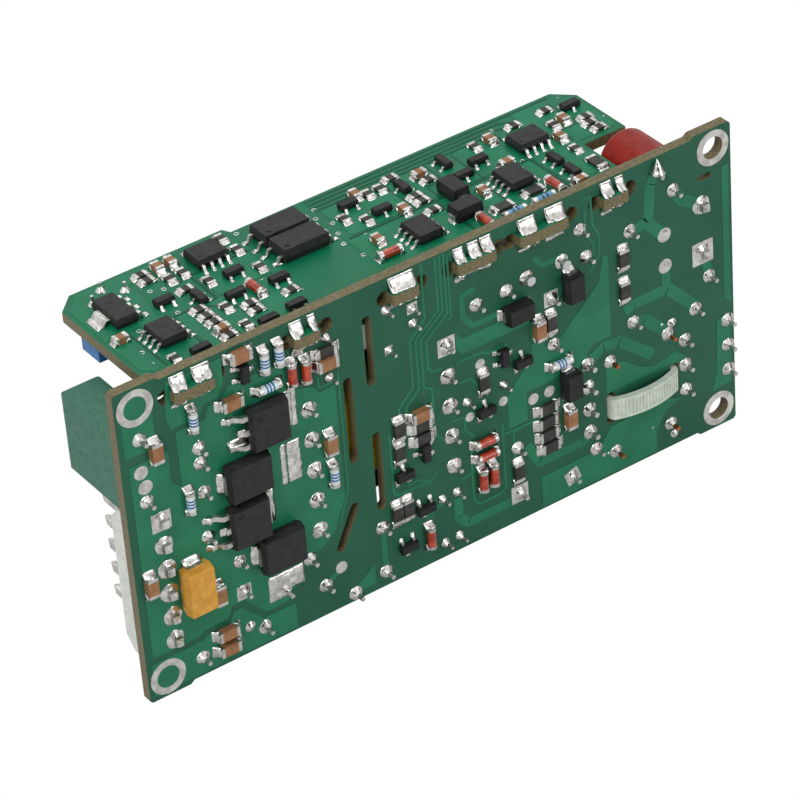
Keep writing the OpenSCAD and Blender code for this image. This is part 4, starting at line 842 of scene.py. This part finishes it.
def end_fillets(name, ends, bodies, out, reach, climb, plane_axes, extra=0.12):
    """Solder at each metal end in a CAD node, pointing away from the body it belongs to."""
    bm = bmesh.new()
    bodies = [box for node in bodies for box in solids(node)]
    out = Vector(out)
    flip = 1 if sum(out) > 0 else -1
    up_axis = 3 - sum(plane_axes)
    for low, high in [box for node in ends for box in solids(node)]:
        middle = (low + high) / 2
        body = nearest(middle, bodies)
        proud = {}
        for axis in plane_axes:
            proud[axis] = max(high[axis] - body[1][axis], body[0][axis] - low[axis])
        axis = max(proud, key=proud.get)
        wide_axis = plane_axes[0] if axis == plane_axes[1] else plane_axes[1]
        sign = 1 if middle[axis] > (body[0][axis] + body[1][axis]) / 2 else -1
        away = Vector((0, 0, 0))
        away[axis] = sign
        end = middle.copy()
        end[axis] = high[axis] if sign > 0 else low[axis]
        end[up_axis] = low[up_axis] if flip > 0 else high[up_axis]
        tall = high[up_axis] - low[up_axis]
        fillet(bm, end, away, out, high[wide_axis] - low[wide_axis] + extra * 2 * MM,
               tall * climb, reach * MM, min(high[axis] - low[axis], 0.5 * MM))
    return piece_from(bm, name, SOLDER)


end_fillets("solder_side_end_solder", ["solder_side_end_caps"],
            ["solder_side_resistors", "solder_side_capacitors", "solder_side_cylinders",
             "solder_side_glass_diodes"], SOLDER_OUT, 0.75, 0.9, (0, 2))
end_fillets("solder_side_lead_solder", ["solder_side_package_leads"], ["solder_side_packages"],
            SOLDER_OUT, 0.5, 0.6, (0, 2), 0.15)
end_fillets("power_terminal_solder", ["power_terminals"],
            ["power_transistors", "large_diodes", "tantalum_capacitor"], SOLDER_OUT, 0.8, 0.6,
            (0, 2), 0.15)
end_fillets("control_end_solder", ["control_end_caps"],
            ["control_resistors", "control_capacitors", "control_cylinders",
             "control_glass_diodes"], CONTROL_OUT, 0.5, 0.95, (0, 1))
end_fillets("control_lead_solder", ["control_package_leads"],
            ["control_circuits", "control_couplers", "control_packages"], CONTROL_OUT, 0.35,
            0.35, (0, 1), 0.08)


def tab_fillets():
    """Solder that runs from the pads on the solder side out along each tab."""
    bm = bmesh.new()
    across, steps = 10, 9
    for low, high in solids("tab_solder"):
        up = 1 if low.z > BOARD_TOP.z - 3.2 * MM else -1
        foot = low.z if up > 0 else high.z
        climb = (1.95 if up > 0 else random.uniform(1.2, 2.4)) * MM
        tip = -low.y + 0.25 * MM
        phase = random.uniform(0, 40)
        grid = []
        for i in range(steps + 1):
            share = i / steps
            row = []
            for j in range(across + 1):
                v = j / across
                ripple = noise.noise(Vector((v * 3 + phase, share * 2, phase)))
                edge = 1 - (2 * v - 1) ** 6
                y = tip * (1 - share) ** 1.5 * (1 + 0.3 * ripple) * (0.75 + 0.25 * edge)
                z = climb * share ** 1.1 + (0.25 * MM * ripple if up < 0 else 0)
                row.append(bm.verts.new((low.x + (high.x - low.x) * v, -max(y, 0.06 * MM),
                                         foot + up * max(z, 0))))
            grid.append(row)
        for i in range(steps):
            for j in range(across):
                bm.faces.new((grid[i][j], grid[i + 1][j], grid[i + 1][j + 1], grid[i][j + 1]))
        border = grid[0] + [grid[i][across] for i in range(1, steps + 1)] + \
            grid[steps][-2::-1] + [grid[i][0] for i in range(steps - 1, 0, -1)]
        back = [bm.verts.new((vert.co.x, 0, vert.co.z)) for vert in border]
        join_rows(bm, border, back)
        bm.faces.new(back)
    piece = piece_from(bm, "tab_fillets", SOLDER)
    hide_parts("tab_solder")


tab_fillets()


# ---- Bands on the lacquered cylinders -----------------------------------------------------

def measure_along(node, plane_axes):
    """Stores how far along its own cylinder each point lies, from 0 to 1."""
    mesh = NODES[node].data
    boxes = solids(node)
    values = []
    for vert in mesh.vertices:
        low, high = min(boxes, key=lambda box: ((box[0] + box[1]) / 2 - vert.co).length)
        axis = max(plane_axes, key=lambda a: high[a] - low[a])
        values.append((vert.co[axis] - low[axis]) / (high[axis] - low[axis]))
    attribute = mesh.attributes.new("along", "FLOAT", "POINT")
    attribute.data.foreach_set("value", values)


measure_along("solder_side_cylinders", (0, 2))
measure_along("control_cylinders", (0, 1))

# ---- Stage, light, camera -----------------------------------------------------------------

def white_for_camera(nodes, links, shaded, output):
    """Plain white to the camera. Every other ray meets the shaded finish."""
    path = nodes.new("ShaderNodeLightPath")
    white = nodes.new("ShaderNodeEmission")
    white.inputs["Color"].default_value = (1, 1, 1, 1)
    mix = nodes.new("ShaderNodeMixShader")
    links.new(path.outputs["Is Camera Ray"], mix.inputs[0])
    links.new(shaded, mix.inputs[1])
    links.new(white.outputs[0], mix.inputs[2])
    links.new(mix.outputs[0], output)


def floor():
    size = 3.0
    level = CAD_BOX[0][2]
    bm = bmesh.new()
    corners = [bm.verts.new((x * size, y * size, level))
               for x, y in ((-1, -1), (1, -1), (1, 1), (-1, 1))]
    bm.faces.new(corners)
    mesh = mesh_of(bm, "floor")
    finish = Finish("floor_white", (0.86, 0.86, 0.86, 1), 0.8)
    output = finish.nodes["Material Output"].inputs["Surface"]
    white_for_camera(finish.nodes, finish.links, finish.shader.outputs[0], output)
    mesh.materials.append(finish.material)
    linked("floor", mesh)


floor()

FILL_LIGHT = 0.32    # strength of the even light from all round

world = bpy.data.worlds.new("studio")
world.use_nodes = True
bpy.context.scene.world = world
sky = world.node_tree.nodes
background = sky["Background"]
background.inputs["Color"].default_value = (1, 1, 1, 1)
path = sky.new("ShaderNodeLightPath")
level = sky.new("ShaderNodeMapRange")
level.inputs["To Min"].default_value = FILL_LIGHT
level.inputs["To Max"].default_value = 1.0
direct = sky.new("ShaderNodeMath")
direct.operation = "MAXIMUM"
world.node_tree.links.new(path.outputs["Is Camera Ray"], direct.inputs[0])
world.node_tree.links.new(path.outputs["Is Glossy Ray"], direct.inputs[1])
world.node_tree.links.new(direct.outputs[0], level.inputs["Value"])
world.node_tree.links.new(level.outputs[0], background.inputs["Strength"])


def softbox(name, place, target, size, power):
    light = bpy.data.lights.new(name, "AREA")
    light.shape = "RECTANGLE"
    light.size, light.size_y = size
    light.energy = power
    lamp = linked(name, light)
    lamp.location = place
    lamp.rotation_euler = (Vector(target) - Vector(place)).to_track_quat("-Z", "Y").to_euler()


softbox("key", (-0.55, -0.35, 0.75), (0, 0, 0), (0.5, 0.5), 5)
softbox("top", (0.25, 0.35, 0.85), (0, 0, 0), (0.6, 0.4), 2.2)
softbox("front", (0.35, -0.8, 0.25), (0, 0, 0), (0.5, 0.35), 2.0)


def flag(name, corners):
    """A dark card beside the set that only shiny surfaces see."""
    mesh = bpy.data.meshes.new(name)
    mesh.from_pydata(corners, [], [(0, 1, 2, 3)])
    finish = Finish(name + "_cloth", (0.012, 0.012, 0.012, 1), 1.0, sheen=0).mottle(
        (0.02, 0.02, 0.02, 1), 40)
    mesh.materials.append(finish.material)
    piece = linked(name, mesh)
    piece.visible_camera = False
    piece.visible_diffuse = False
    piece.visible_transmission = False
    piece.visible_shadow = False


flag("front_flag", [(-1.2, -1.1, 0), (0.1, -1.1, 0), (0.1, -1.1, 0.7), (-1.2, -1.1, 0.7)])
flag("right_flag", [(0.45, -0.9, -0.02), (1.2, -0.9, -0.02), (1.2, 0.6, 0.5), (0.45, 0.6, 0.5)])
flag("low_flag", [(-0.05, -0.5, -0.024), (0.5, -0.5, -0.024), (0.5, -0.14, -0.024),
                  (-0.05, -0.14, -0.024)])

camera_data = bpy.data.cameras.new("camera")
camera_data.lens = 181.3
camera_data.sensor_width = 36
camera_data.clip_start = 0.01
camera = linked("camera", camera_data)
eye = Vector((-0.2481, -0.3738, 0.3199))
forward = Vector((0.4421, 0.6857, -0.5783)).normalized()
right = forward.cross(Vector((0.3789, 0.4416, 0.8133))).normalized()
up = right.cross(forward)
camera.matrix_world = Matrix.Translation(eye) @ Matrix((right, up, -forward)).transposed().to_4x4()
bpy.context.scene.camera = camera
bpy.context.scene.view_settings.view_transform = "Standard"
